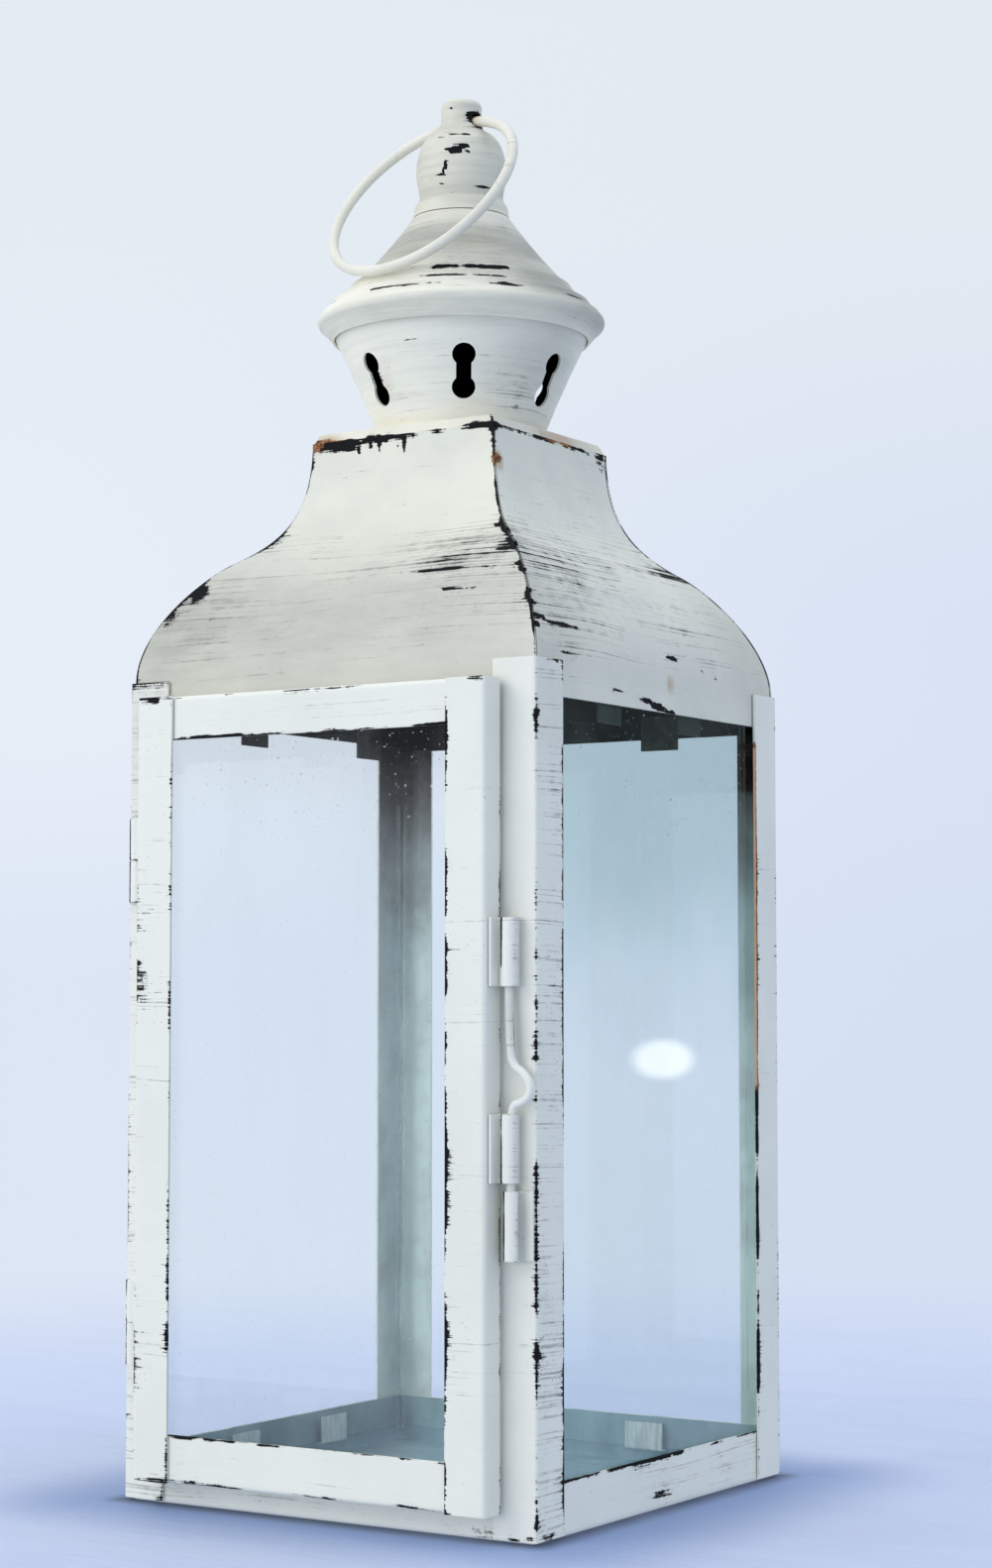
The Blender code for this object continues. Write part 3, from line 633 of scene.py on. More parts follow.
frame_paint = aged_paint("aged_frame_paint", (0.85, 0.84, 0.755), (0.795, 0.79, 0.71))
door_paint = aged_paint("aged_door_paint", (0.84, 0.835, 0.745), (0.795, 0.79, 0.705))
roof_paint = aged_paint("aged_roof_paint", (0.80, 0.785, 0.66), (0.70, 0.69, 0.60))
plate_paint = aged_paint("aged_plate_paint", (0.85, 0.81, 0.68), (0.76, 0.71, 0.57))
# The chimney's and cap's cream is paler than the frame's: painted light that brightens them.
chimney_paint = aged_paint("aged_chimney_paint", (0.93, 0.90, 0.775), (0.88, 0.855, 0.73), smudge=0.10)
cap_paint = aged_paint("aged_cap_paint", (0.92, 0.88, 0.735), (0.83, 0.80, 0.67), smudge=0.20)
finial_paint = aged_paint("aged_finial_paint", (0.79, 0.76, 0.635), (0.71, 0.69, 0.565), smudge=0.18)
ring_paint = aged_paint("aged_ring_paint", (0.83, 0.80, 0.68), (0.74, 0.71, 0.60))
fitting_paint = aged_paint("aged_fitting_paint", (0.85, 0.845, 0.775), (0.80, 0.795, 0.73))
# The inner frame's low colour is paler than paint can be: painted light standing in for floor light on the
# inner faces.
inside_frame = sooty_shaded_inside("inside_frame", (0.84, 1.0, 1.0), (0.020, 0.014, 0.010), 0.165, 0.228)
inside_roof = sooty_shaded_inside("inside_roof", (0.014, 0.011, 0.009), (0.0012, 0.0010, 0.0009), 0.20, 0.25)
inside_pan = sooty_shaded_inside("inside_pan", (0.34, 0.52, 0.60), (0.20, 0.22, 0.22), 0.05, 0.09)
clips = clip_metal("dull_clips")
clear_glass = pane_glass("clear_panes", (0.965, 0.985, 0.985))
# The right pane's upper part carries painted shade and reflection in its second tint.
green_glass = pane_glass("greenish_pane", (0.87, 0.925, 0.925), (0.66, 0.80, 0.80))


# --- pieces ---------------------------------------------------------------------------------
def piece(node, mesh, materials, slot, **layers):
    """A worn mesh that stands for a CAD node and moves with that node's body."""
    marks(mesh, layers)
    name = "painted_" + node
    mesh.name = name
    item = bpy.data.objects.new(name, mesh)
    scene.collection.objects.link(item)
    if not mesh.materials:
        for material in materials:
            mesh.materials.append(material)
    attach(item, nodes[node]["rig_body"])
    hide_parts(node)


def keep_node(node, material, soft_edge=0.0):
    """A CAD node that stays, with a finished material."""
    item = nodes[node]
    item.data.materials.clear()
    item.data.materials.append(material)
    if soft_edge:
        bevel = item.modifiers.new("soft_edge", "BEVEL")
        bevel.width = soft_edge
        bevel.segments = 2
        bevel.limit_method = "ANGLE"


def make_base_pan():
    bend = 0.0016
    wall = refine([(FRAME_HALF, PAN_HEIGHT), (FRAME_HALF, bend)], 0.0012)
    corner = arc((FRAME_HALF - bend, bend), bend, 0, -90, 5)
    floor = refine([(FRAME_HALF - bend, 0.0), (0.0, 0.0)], 0.0035)
    outer = wall[:-1] + corner[:-1] + floor[:-1] + [(0.0004, 0.0)]
    inner = offset_path(outer, -SHEET)
    inner[-1] = (0.0004, SHEET)
    mesh = shell(squared(outer, 0.0014), squared(inner, 0.0008), around=True)
    h, z = FRAME_HALF / MM, PAN_HEIGHT / MM
    rules = all_round(worn_edges(((h, -h, 0), (h, h, 0), 0.28), ((h, -h, z), (h, h, z), 0.55)))
    rules += worn_edges(((h, -20, z), (h, 45, z), 0.95))
    rules += spots((60, -h, 2, 20, 4, 3, 0.2), (h, -4, 4.5, 4, 12, 1.4, 0.4), (h, 28, 9, 4, 16, 4, 0.16))
    piece(
        "base_pan", mesh, (frame_paint, inside_pan), "frame_paint", wear=rules,
        haze=spots((h, 30, 8, 4, 60, 12, 0.36), (0, -h, 6, 90, 4, 10, 0.2)),
        # Painted shade on the lower front face of the pan.
        dull=spots((0, -h, 6, 100, 4, 20, 0.22)))


def make_posts():
    reach = BODY_HALF - SHEET / 2
    ends = (POST_EDGE, -reach), (reach, -POST_EDGE)
    path = [ends[0]] + rounded_corner(ends[0], (reach, -reach), ends[1], 0.0006) + [ends[1]]
    b, e, low, top = (size / MM for size in (BODY_HALF, POST_EDGE, POST_BOTTOM, POST_TOP))
    cut_edge = b - SHEET / 2 / MM
    rules = (
        worn_edges(
            ((b, -b, low), (b, -b, top), 0.7), ((e, -b, low), (e, -b, top), 0.26),
            ((e, -b, low), (b, -b, low), 0.36), ((b, -b, low), (b, -e, low), 0.36),
            ((b, -e, low), (b, -e, top), 0.25), ((e, -b, top), (b, -b, top), 0.45, 0.7),
            ((b, -b, top), (b, -e, top), 0.45, 0.7))
        + spots((b, -67, 20, 0.6, 10, 50, 0.1)))
    extra = {
        "post_front_right": worn_edges(((b, -e, low), (b, -e, top), 0.6, 1.3)) + spots(
            (b, -73, 55, 2, 3, 4, 0.22), (b, -b, 215, 3, 4, 16, 0.2), (b, -73.5, 236, 2, 3, 10, 0.4)),
        "post_back_right": worn_edges(((b, e, 30), (b, e, 240), 1.0)) + [
            along((cut_edge, e, 120), (cut_edge, e, 237), 1.2, 3.6)],
        "post_front_left": worn_edges(((-b, -b, 40), (-b, -b, 200), 0.35))}
    coppery = [along((cut_edge, e, 125), (cut_edge, e, 236), 1, 3.6)]
    names = ("post_front_right", "post_back_right", "post_back_left", "post_front_left")
    for quarter, node in enumerate(names):
        mesh = folded_sheet(path, "z", POST_BOTTOM, POST_TOP, outside=-1)
        mesh.transform(Matrix.Rotation(quarter * pi / 2, 4, "Z"))
        piece(
            node, mesh, (frame_paint, inside_frame), "frame_paint",
            wear=turned_rules(rules, quarter) + extra.get(node, []),
            haze=turned_rules(
                spots(
                    (b, -67, 130, 1, 20, 300, 0.26), (b, -67, 225, 1, 20, 30, 0.16),
                    (b, -67, 30, 1, 20, 40, 0.16)),
                quarter),
            rust=coppery if node == "post_back_right" else [],
            # Painted shade at the posts' tops, under the roof skirt.
            dull=turned_rules(spots((b, -67, 240, 1, 20, 20, 0.2)), quarter))


def roof_profile(steps=34):
    """Half width and height of the ogee, from the top edge down to the skirt's lower edge."""
    hollow = bezier((ROOF_TOP_HALF, ROOF_TOP), (0.0346, 0.308), (0.0408, 0.2995), ROOF_SHOULDER, steps)
    crown = bezier(ROOF_SHOULDER, (0.0605, 0.2855), (FRAME_HALF, 0.2690), (FRAME_HALF, POST_TOP), steps)
    return hollow + crown[1:] + refine([(FRAME_HALF, POST_TOP), (FRAME_HALF, SKIRT_BOTTOM)], 0.0015)[1:]


def make_roof_panels():
    profile = roof_profile()
    short = [(reach, max(height, SIDE_SKIRT_BOTTOM)) for reach, height in profile[:-1]]
    short = [point for point, after in zip(short, short[1:]) if point != after] + [short[-1]]
    hip = [(reach / MM, reach / MM, height / MM) for reach, height in profile[::4]]
    wear, haze, rust, dull = roof_rules(hip)
    across = np.sin(np.linspace(-pi / 2, pi / 2, 91))
    panels = (
        ("roof_panel_right", short, 0), ("roof_panel_back", profile, 1), ("roof_panel_left", short, 2),
        ("roof_panel_front", profile, 3))
    for node, outline, quarter in panels:
        outline = np.array(outline)
        halves = outline[:, 0]
        if outline[-1, 1] > SKIRT_BOTTOM:
            slopes = np.gradient(halves) / -np.gradient(outline[:, 1])
            halves = halves - SHEET * np.sqrt(1 + slopes ** 2) - 1.5 * GAP
        grids = []
        for line in (outline, offset_path(outline, -SHEET)):
            grid = np.zeros((len(line), len(across), 3))
            grid[:, :, 0] = line[:, :1]
            grid[:, :, 1] = halves[:, None] * across[None, :]
            grid[:, :, 2] = line[:, 1:]
            grids.append(grid)
        mesh = shell(*grids)
        mesh.transform(Matrix.Rotation(quarter * pi / 2, 4, "Z"))
        piece(
            node, mesh, (roof_paint, inside_roof), "roof_paint", wear=wear, haze=haze, rust=rust,
            dull=dull)


def roof_rules(hip):
    """Wear on the whole roof: its four hips, its shoulders and its top edge."""
    h, f, top, skirt = (size / MM for size in (ROOF_TOP_HALF, FRAME_HALF, ROOF_TOP, SKIRT_BOTTOM))
    wear = worn_edges(((h, -h, top), (h, h, top), 0.72), ((f, -f, skirt), (f, f, skirt), 0.75))
    for a, b in zip(hip, hip[1:]):
        height = (a[2] + b[2]) / 2
        amount = 1.15 if 268 < height < 302 or height > 325 else 0.62
        wear += worn_edges((a, b, amount, 1.15)) + [along(a, b, 0.6, 2.0)]
    wear = all_round(wear)
    haze = all_round(spots((55, 0, 291, 30, 80, 12, 0.26), (66, 0, 272, 30, 80, 12, 0.16)))
    dull = spots((0, -45, 305, 80, 20, 30, 0.1))
    for quarter, amount in enumerate((0.05, 0.70, 0.70, 0.70)):
        dull += turned_rules(spots((68, 0, 268, 30, 100, 24, amount)), quarter)
    reaches = [point[0] for point in hip[::-1]]
    levels = [point[2] for point in hip[::-1]]
    strokes = (
        (297.5, 0, 3, 1.2), (295.5, 0, 5, 1.4), (293.2, 0, 8, 1.5), (291, 0, 7, 1.8), (289.3, 0, 14, 1.5),
        (288, 0, 9, 1.8), (286.2, 0, 28, 1.2), (284.5, 0, 7, 1.6), (282.6, 0, 44, 1.3),
        (281.7, 3, 12, 1.3), (276.2, 14, 30, 0.72), (275.2, 12, 22, 0.74))
    bare = (297.5, 294, 290, 286, 281.5, 277)
    for a, b in zip(bare, bare[1:]):
        ends = [(np.interp(z, levels, reaches), -np.interp(z, levels, reaches), z) for z in (a, b)]
        wear.append(along(*ends, 2.4, 1.0))
    for height, start, end, amount in strokes:
        at = np.interp(height, levels, reaches)
        wear.append(along((at - start, -at, height), (at - end, -at, height - 0.3), 0.6, amount))
    for x, drop in ((-21, 3), (-16.5, 4.6), (-12, 3.6), (-8.5, 5), (-2, 4), (1, 6.2), (4, 3)):
        wear.append(along((x, -h, top), (x + 0.4, -h, top - drop), 0.7, 1.5))
    scratches = (
        (-66, 263.8, -18, 265.2, 1, 0.72), (-56, 266.8, -28, 267.2, 1, 0.72),
        (-60, 256.2, -34, 256.6, 1, 0.66), (-62, 273.7, -32, 274.2, 1, 0.62),
        (-30, 262.5, 10, 260, 0.5, 0.9), (10, 260, 45, 254.5, 0.5, 0.95),
        (-34, 247.8, -10, 245.5, 0.9, 0.9), (-10, 245.5, 8, 242.4, 1.2, 1.1),
        (6, 254.5, 6.4, 249, 0.7, 2.6))
    for side_start, high_end, side_end, low_end, reach, amount in scratches:
        wear.append(
            along(
                (np.interp(high_end, levels, reaches), side_start, high_end),
                (np.interp(low_end, levels, reaches), side_end, low_end), reach, amount))
    for height, start, end in (
            (279, 0, 6), (276.2, 0, 9), (273.5, 0, 5), (270, 0, 4), (266, 0, 6), (262.5, 0, 3)):
        at = np.interp(height, levels, reaches)
        wear.append(along((at, start - at, height), (at, end - at, height), 0.9, 1.4))
    wear += spots(
        (-18, -h, 330.8, 12, 4, 2, 1.5), (1, -h, 331.2, 5, 4, 1.4, 1.1), (-60, -62, 283, 6, 6, 6, 0.5),
        (-67, -69, 275.5, 3, 3, 7, 0.8), (h, h, 330, 4, 7, 4, 0.6), (35.5, -32.5, 320, 1.6, 2, 2.4, 1.7),
        (55, 50, 293, 6, 6, 5, 0.28))
    haze += spots(
        (54, 46, 292.5, 6, 14, 2.8, 0.9), (36, -56, 285.5, 26, 20, 7, 0.3),
        (-50, -71, 270, 30, 20, 12, 0.24), (-16, -35, 318, 18, 6, 0.7, 0.66),
        (50, -10, 296, 20, 60, 20, 0.3), (66, -40, 272, 20, 40, 16, 0.42), (72, 0, 256, 20, 60, 10, 0.2))
    rust = spots(
        (-h, -h, top, 4, 4, 4, 1.1), (75, 6, 251.8, 3, 2, 3.5, 1.2), (35.5, -32.5, 320, 2.5, 3, 3.5, 1.4),
        (h, 4, top, 4, 12, 1.5, 0.9), (0, -h, top, 30, 4, 1, 0.35))
    return wear, haze, rust, dull


def make_top_plate():
    low, high = PLATE_LOW.z, PLATE_HIGH.z
    rim = PLATE_HIGH.x
    bend = 0.0005
    outline = refine([(PLATE_TOP_HALF, high), (rim, low)], 0.0006)
    flat = refine([(PLATE_HOLE, high), (PLATE_TOP_HALF - bend, high)], 0.0012)
    outer = np.array(flat + [(PLATE_TOP_HALF - bend * 0.2, high - bend * 0.12)] + outline[1:])
    inner = offset_path(outer, -SHEET)
    inner[:len(flat), 1] = high - SHEET
    inner[-1, 1] = low
    grids = []
    for line in (outer, inner):
        square = squared(line, 0.0010)
        directions = np.arctan2(square[..., 1], square[..., 0])
        share = np.clip((line[:, 0] - PLATE_HOLE) / (PLATE_TOP_HALF - bend - PLATE_HOLE), 0, 1)
        for i, part in enumerate(share):
            circle = np.stack(
                [line[i, 0] * np.cos(directions[i]), line[i, 0] * np.sin(directions[i])], axis=1)
            square[i, :, :2] = part * square[i, :, :2] + (1 - part) * circle
        grids.append(square)
    mesh = shell(*grids, around=True, soft_edge=0.0)
    h, f, z, top = (size / MM for size in (rim, PLATE_TOP_HALF, low, high))
    wear = all_round(worn_edges(((h, -h, z), (h, h, z), 0.62), ((h, h, z), (f, f, top), 0.62)))
    wear += spots(
        (-20, -h, z, 14, 5, 1.6, 0.55), (26, -h, z, 8, 5, 1.6, 0.45), (h, 6, 333.3, 4, 8, 1, 0.6))
    rust = spots((-28, -h, z, 8, 6, 4, 0.9), (-4, -h, z, 10, 6, 4, 0.35), (h, 6, 333.3, 5, 14, 4, 0.9))
    piece(
        "roof_top_plate", mesh, (plate_paint, inside_roof), "top_plate_paint", wear=wear, rust=rust,
        # Painted shade along the plate's lower right edge.
        haze=spots((0, 0, top, 50, 50, 3, 0.25)), dull=spots((h, 0, z, 10, 40, 10, 0.45)))


def chimney_radius(height):
    rise = height - CHIMNEY_BOTTOM
    return CHIMNEY_BASE_RADIUS + CHIMNEY_FLARE * rise + CHIMNEY_CURVE * rise * rise


def slot_frames():
    """The place and tilt of each vent slot, square to the chimney's wall."""
    wall_lean = CHIMNEY_FLARE + 2 * CHIMNEY_CURVE * (SLOT_CENTRE - CHIMNEY_BOTTOM)
    lean = Vector((1.0, wall_lean)).angle(Vector((1.0, 0.0)))
    reach = Matrix.Translation((chimney_radius(SLOT_CENTRE), 0, SLOT_CENTRE))
    upright = Matrix.Rotation(pi / 2, 4, "Z") @ Matrix.Rotation(pi / 2, 4, "X")
    for step in SLOT_STEPS:
        turn = Matrix.Rotation(radians(SLOT_FIRST + step), 4, "Z")
        yield turn @ reach @ Matrix.Rotation(lean, 4, "Y") @ upright


def slot_cutters():
    """One mesh with a closed dumbbell block for each slot."""
    start = degrees(asin(SLOT_NECK_HALF / SLOT_END_RADIUS)) - 90
    upper = arc((0, SLOT_END_SPACING / 2), SLOT_END_RADIUS, start, 180 - start, 26)
    outline = upper + [(-x, -y) for x, y in upper]
    bm = bmesh.new()
    for place in slot_frames():
        near = [bm.verts.new(place @ Vector((x, y, -0.006))) for x, y in outline]
        far = [bm.verts.new(place @ Vector((x, y, 0.006))) for x, y in outline]
        count = len(outline)
        for i in range(count):
            k = (i + 1) % count
            bm.faces.new((near[i], near[k], far[k], far[i]))
        bm.faces.new(near[::-1])
        bm.faces.new(far)
    bmesh.ops.recalc_face_normals(bm, faces=bm.faces)
    return mesh_from(bm)


def cut_mesh(mesh, cutter_mesh, materials):
    """The mesh with the cutters taken out of it. Its two sides keep their own materials."""
    for material in materials:
        mesh.materials.append(material)
    body = bpy.data.objects.new("body_to_cut", mesh)
    cutter = bpy.data.objects.new("cutter", cutter_mesh)
    for item in (body, cutter):
        scene.collection.objects.link(item)
    hole = body.modifiers.new("cut", "BOOLEAN")
    hole.operation = "DIFFERENCE"
    hole.object = cutter
    bpy.context.view_layer.update()
    evaluated = body.evaluated_get(bpy.context.evaluated_depsgraph_get())
    made = bpy.data.meshes.new_from_object(evaluated)
    for item in (body, cutter):
        bpy.data.objects.remove(item, do_unlink=True)
    made.set_sharp_from_angle(angle=radians(40))
    return made


def make_chimney():
    heights = steps_between(CHIMNEY_TOP, CHIMNEY_BOTTOM, -0.0012)
    profile = [(chimney_radius(height), height) for height in heights]
    mesh = cut_mesh(spun_sheet(profile, 160), slot_cutters(), (chimney_paint, inside_roof))
    wear = []
    for place in slot_frames():
        ends = [place @ Vector((0, side * SLOT_END_SPACING / 2, 0)) / MM for side in (-1, 1)]
        wear.append(along(*ends, SLOT_END_RADIUS / MM + 1, 0.62))
    wear += spots((*around_z(36, -82, 360), 4, 4, 1, 0.45), (*around_z(33, -20, 340.5), 7, 7, 1.6, 0.5))
    haze = spots(
        (*around_z(33, -22, 346), 12, 12, 10, 0.44), (*around_z(33, -50, 348), 20, 20, 12, 0.16),
        (*around_z(33, -85, 344), 12, 12, 8, 0.22), (0, 0, CHIMNEY_BOTTOM / MM, 50, 50, 0.8, 0.15))
    rust = spots(
        (*around_z(32, -108, 352), 12, 12, 12, 0.3), (*around_z(38, -60, 366.5), 30, 30, 3, 0.22))
    # Painted shade on the chimney's side towards the right, and in a ring under the cap's rim.
    dull = spots((*around_z(36, -5, 354), 22, 22, 20, 0.5), (0, 0, 366.5, 60, 60, 3, 0.3))
    piece(
        "chimney", mesh, (chimney_paint, inside_roof), "chimney_paint", wear=wear, haze=haze, rust=rust,
        dull=dull)


def cap_profile():
    """Flat top, a cone that flares and carries two beads, and a rim rolled under the edge."""
    steps = 84
    cone = bezier(
        (CAP_TOP_RADIUS + 0.0004, CAP_TOP - 0.0003), (0.0205, 0.4002), (0.0312, 0.3860), (0.0452, 0.3750),
        steps)
    beads = ((0.75, 0.022, 0.0006), (0.905, 0.018, 0.0006))
    shaped = []
    for i, (radius, height) in enumerate(cone):
        lift = sum(size * np.exp(-((i / steps - place) / width) ** 2) for place, width, size in beads)
        shaped.append((radius + lift * 0.6, height + lift * 0.8))
    rim = arc((CAP_RIM_RADIUS - CAP_ROLL, CAP_RIM_HEIGHT), CAP_ROLL, 50, -75, 12)
    top = refine([(0.0004, CAP_TOP), (CAP_TOP_RADIUS, CAP_TOP)], 0.002)
    return top + shaped[1:] + rim + [(CAP_LIP_RADIUS, CAP_BOTTOM)]


def make_cap():
    mesh = spun_sheet(cap_profile(), 176, closed_top=True, level_foot=False)
    side = MARKED_SIDE
    grooves = (
        (36.4, 383.2, -26, -2, 0.66), (36.4, 383.2, 3, 24, 0.84), (40, 379.7, -20, 6, 0.68),
        (40, 379.7, 6, 22, 0.8), (43.8, 376.2, -40, -8, 0.84), (43.8, 376.2, 12, 34, 0.86),
        (43.8, 376.2, 40, 64, 0.66))
    wear = []
    for radius, height, start, end, amount in grooves:
        for repeat in (0, 118, 235):
            points = [
                around_z(radius, side + repeat + turn, height) for turn in np.linspace(start, end, 5)]
            wear += [along(a, b, 1.6, amount) for a, b in zip(points, points[1:])]
    wear += spots((*around_z(43.8, side + 20, 376.5), 4, 4, 1.2, 1.1))
    haze = spots(
        (0, 0, 382, 60, 60, 9, 0.34), (*around_z(30, side + 10, 390), 25, 20, 10, 0.2),
        (0, 0, 402, 50, 50, 5, 0.3))
    rust = spots((0, 0, 371.2, 60, 60, 2.4, 0.24), (*around_z(26, side + 14, 394), 14, 14, 7, 0.42))
    # Grey dirt and painted shade on the cone's middle band, and painted shade between the beads and on the
    # rim towards the right.
    dull = spots(
        (0, 0, 393.5, 60, 60, 10, 1.3), (*around_z(43, -10, 379), 24, 24, 6.5, 1.1),
        (*around_z(46, 22, 373.5), 16, 20, 6, 0.9))
    piece(
        "chimney_cap", mesh, (cap_paint, inside_roof), "chimney_paint", wear=wear, haze=haze, rust=rust,
        dull=dull)


def smooth_path(knots, per_span):
    """Points of a Catmull-Rom curve through the knots."""
    points = []
    padded = [knots[0]] + list(knots) + [knots[-1]]
    for i in range(1, len(padded) - 2):
        p0, p1, p2, p3 = (Vector(p) for p in padded[i - 1:i + 3])
        for step in range(per_span):
            t = step / per_span
            square = 2 * p0 - 5 * p1 + 4 * p2 - p3
            cube = 3 * p1 - p0 - 3 * p2 + p3
            points.append(0.5 * (2 * p1 + (p2 - p0) * t + square * t * t + cube * t ** 3))
    points.append(Vector(knots[-1]))
    return points


def finial_profile():
    """A knob with a flat crown, a waist, a bulb and a collar, from top to bottom."""
    edge = 0.0025
    crown = [(0.0003, FINIAL_TOP), (0.0034, FINIAL_TOP)]
    crown += arc((0.0042, FINIAL_TOP - edge), edge, 80, 0, 9)
    waist = [crown[-1], (0.0066, 0.4405), (0.0068, 0.4378), (0.0076, 0.4363), (0.0096, 0.4349)]
    bulb = bezier((0.0096, 0.4349), (0.0136, 0.4327), (0.0152, 0.4260), (0.0145, 0.4195), 18)
    collar = [
        (0.0145, 0.4195), (0.0138, 0.4160), (0.0136, 0.4140), (0.0140, 0.4124), (0.0149, 0.4111),
        (0.0153, 0.4098), (0.0154, 0.4085), (0.0157, CAP_TOP + GAP)]
    waist_curve = [tuple(p) for p in smooth_path(waist, 4)]
    collar_curve = [tuple(p) for p in smooth_path(collar, 4)]
    return crown + waist_curve[1:] + bulb[1:] + collar_curve[1:]


def make_finial():
    mesh = spun_sheet(finial_profile(), 112, closed_top=True)
    bm = bmesh.new()
    bmesh.ops.create_cone(
        bm, cap_ends=True, segments=40, radius1=RING_HOLE_RADIUS, radius2=RING_HOLE_RADIUS, depth=0.03)
    bmesh.ops.rotate(bm, matrix=Matrix.Rotation(pi / 2, 3, "Y"), verts=bm.verts)
    bmesh.ops.rotate(bm, matrix=Matrix.Rotation(radians(RING_TURN), 3, "Z"), verts=bm.verts)
    bmesh.ops.translate(bm, vec=(0, 0, RING_HOLE_HEIGHT), verts=bm.verts)
    mesh = cut_mesh(mesh, mesh_from(bm), (finial_paint, inside_roof))
    side = MARKED_SIDE
    eye = around_z(6.7, RING_TURN, RING_HOLE_HEIGHT / MM)
    eyes = (eye, (-eye[0], -eye[1], eye[2]))
    cracks = (
        (12.1, -28, 433.1, -5, 433.4), (12.7, -20, 432.1, 12, 432.4), (13, -36, 431.2, -24, 431.6),
        (14, -12, 428.5, 8, 428.1), (14.2, -24, 427.3, -8, 427), (14.2, -6, 426.6, 10, 426.2),
        (14.3, -14, 425.8, -2, 425.6), (14.7, -19, 422.4, -24, 419), (14.6, -24, 419, -44, 418.1),
        (14.6, -23, 419, -16, 416), (14.2, -31, 416, -20, 415.3))
    wear = [
        along(around_z(radius, side + start, high), around_z(radius, side + end, low), 0.7, 2.6)
        for radius, start, high, end, low in cracks]
    wear += spots(
        (*around_z(14.2, side + 25, 415), 6, 5, 0.6, 0.8),
        (*around_z(7.5, side - 30, 442), 1.2, 1.2, 2, 0.9), (0, 0, 412.8, 30, 30, 0.5, 0.45),
        (0, 0, 436.2, 12, 12, 0.6, 0.6))
    wear += spots(*((*place, 4, 4, 2.6, 1.8) for place in eyes))
    rust = spots(*((*place, 4, 4, 3, 0.60) for place in eyes))
    haze = spots(
        (0, 0, 430, 20, 20, 5, 0.3), (0, 0, 412.5, 30, 30, 3, 0.3),
        (*around_z(15, side + 60, 424), 8, 8, 8, 0.2))
    # Painted shade round the bulb's top and the collar, and down the bulb's two sides.
    dull = spots(
        (0, 0, 435.5, 20, 20, 3, 0.4), (0, 0, 413.5, 30, 30, 3, 0.5),
        (*around_z(14.8, side + 75, 427), 8, 8, 10, 0.45),
        (*around_z(14.8, side - 85, 427), 8, 8, 10, 0.35))
    piece(
        "finial", mesh, (finial_paint, inside_roof), "chimney_paint", wear=wear, haze=haze, rust=rust,
        dull=dull)


def make_ring():
    """A closed wire ring, which hangs in the finial's hole."""
    major, minor = 168, 20
    bm = bmesh.new()
    rings = []
    angles = [2 * pi * k / minor for k in range(minor)]
    for i in range(major):
        a = 2 * pi * i / major
        centre = Vector((cos(a), 0, sin(a))) * RING_RADIUS
        across, level = centre.normalized() * RING_WIRE, Vector((0, RING_WIRE, 0))
        rings.append([bm.verts.new(centre + across * cos(b) + level * sin(b)) for b in angles])
    for i in range(major):
        a, b = rings[i], rings[(i + 1) % major]
        for k in range(minor):
            bm.faces.new((a[k], b[k], b[(k + 1) % minor], a[(k + 1) % minor]))
    bmesh.ops.recalc_face_normals(bm, faces=bm.faces)
    mesh = finished_mesh(bm, 60)
    mesh.transform(Matrix.Translation((0, 0, RING_SEAT - RING_RADIUS)))
    mesh.transform(
        Matrix.Translation((0, 0, RING_HOLE_HEIGHT)) @ Matrix.Rotation(radians(RING_TURN), 4, "Z")
        @ Matrix.Rotation(radians(-RING_LEAN), 4, "X"))
    eye = RING_HOLE_HEIGHT / MM
    piece(
        "ring_handle", mesh, (ring_paint,), "ring_paint",
        wear=spots((0, 0, eye, 8, 8, 8, 1.5), (-12, -30, 386, 6, 6, 6, 0.16)),
        rust=spots((0, 0, eye, 11, 11, 11, 0.9), (0, -35, 384, 30, 20, 6, 0.2)),
        haze=spots((20, -15, 420, 20, 20, 20, 0.18)))


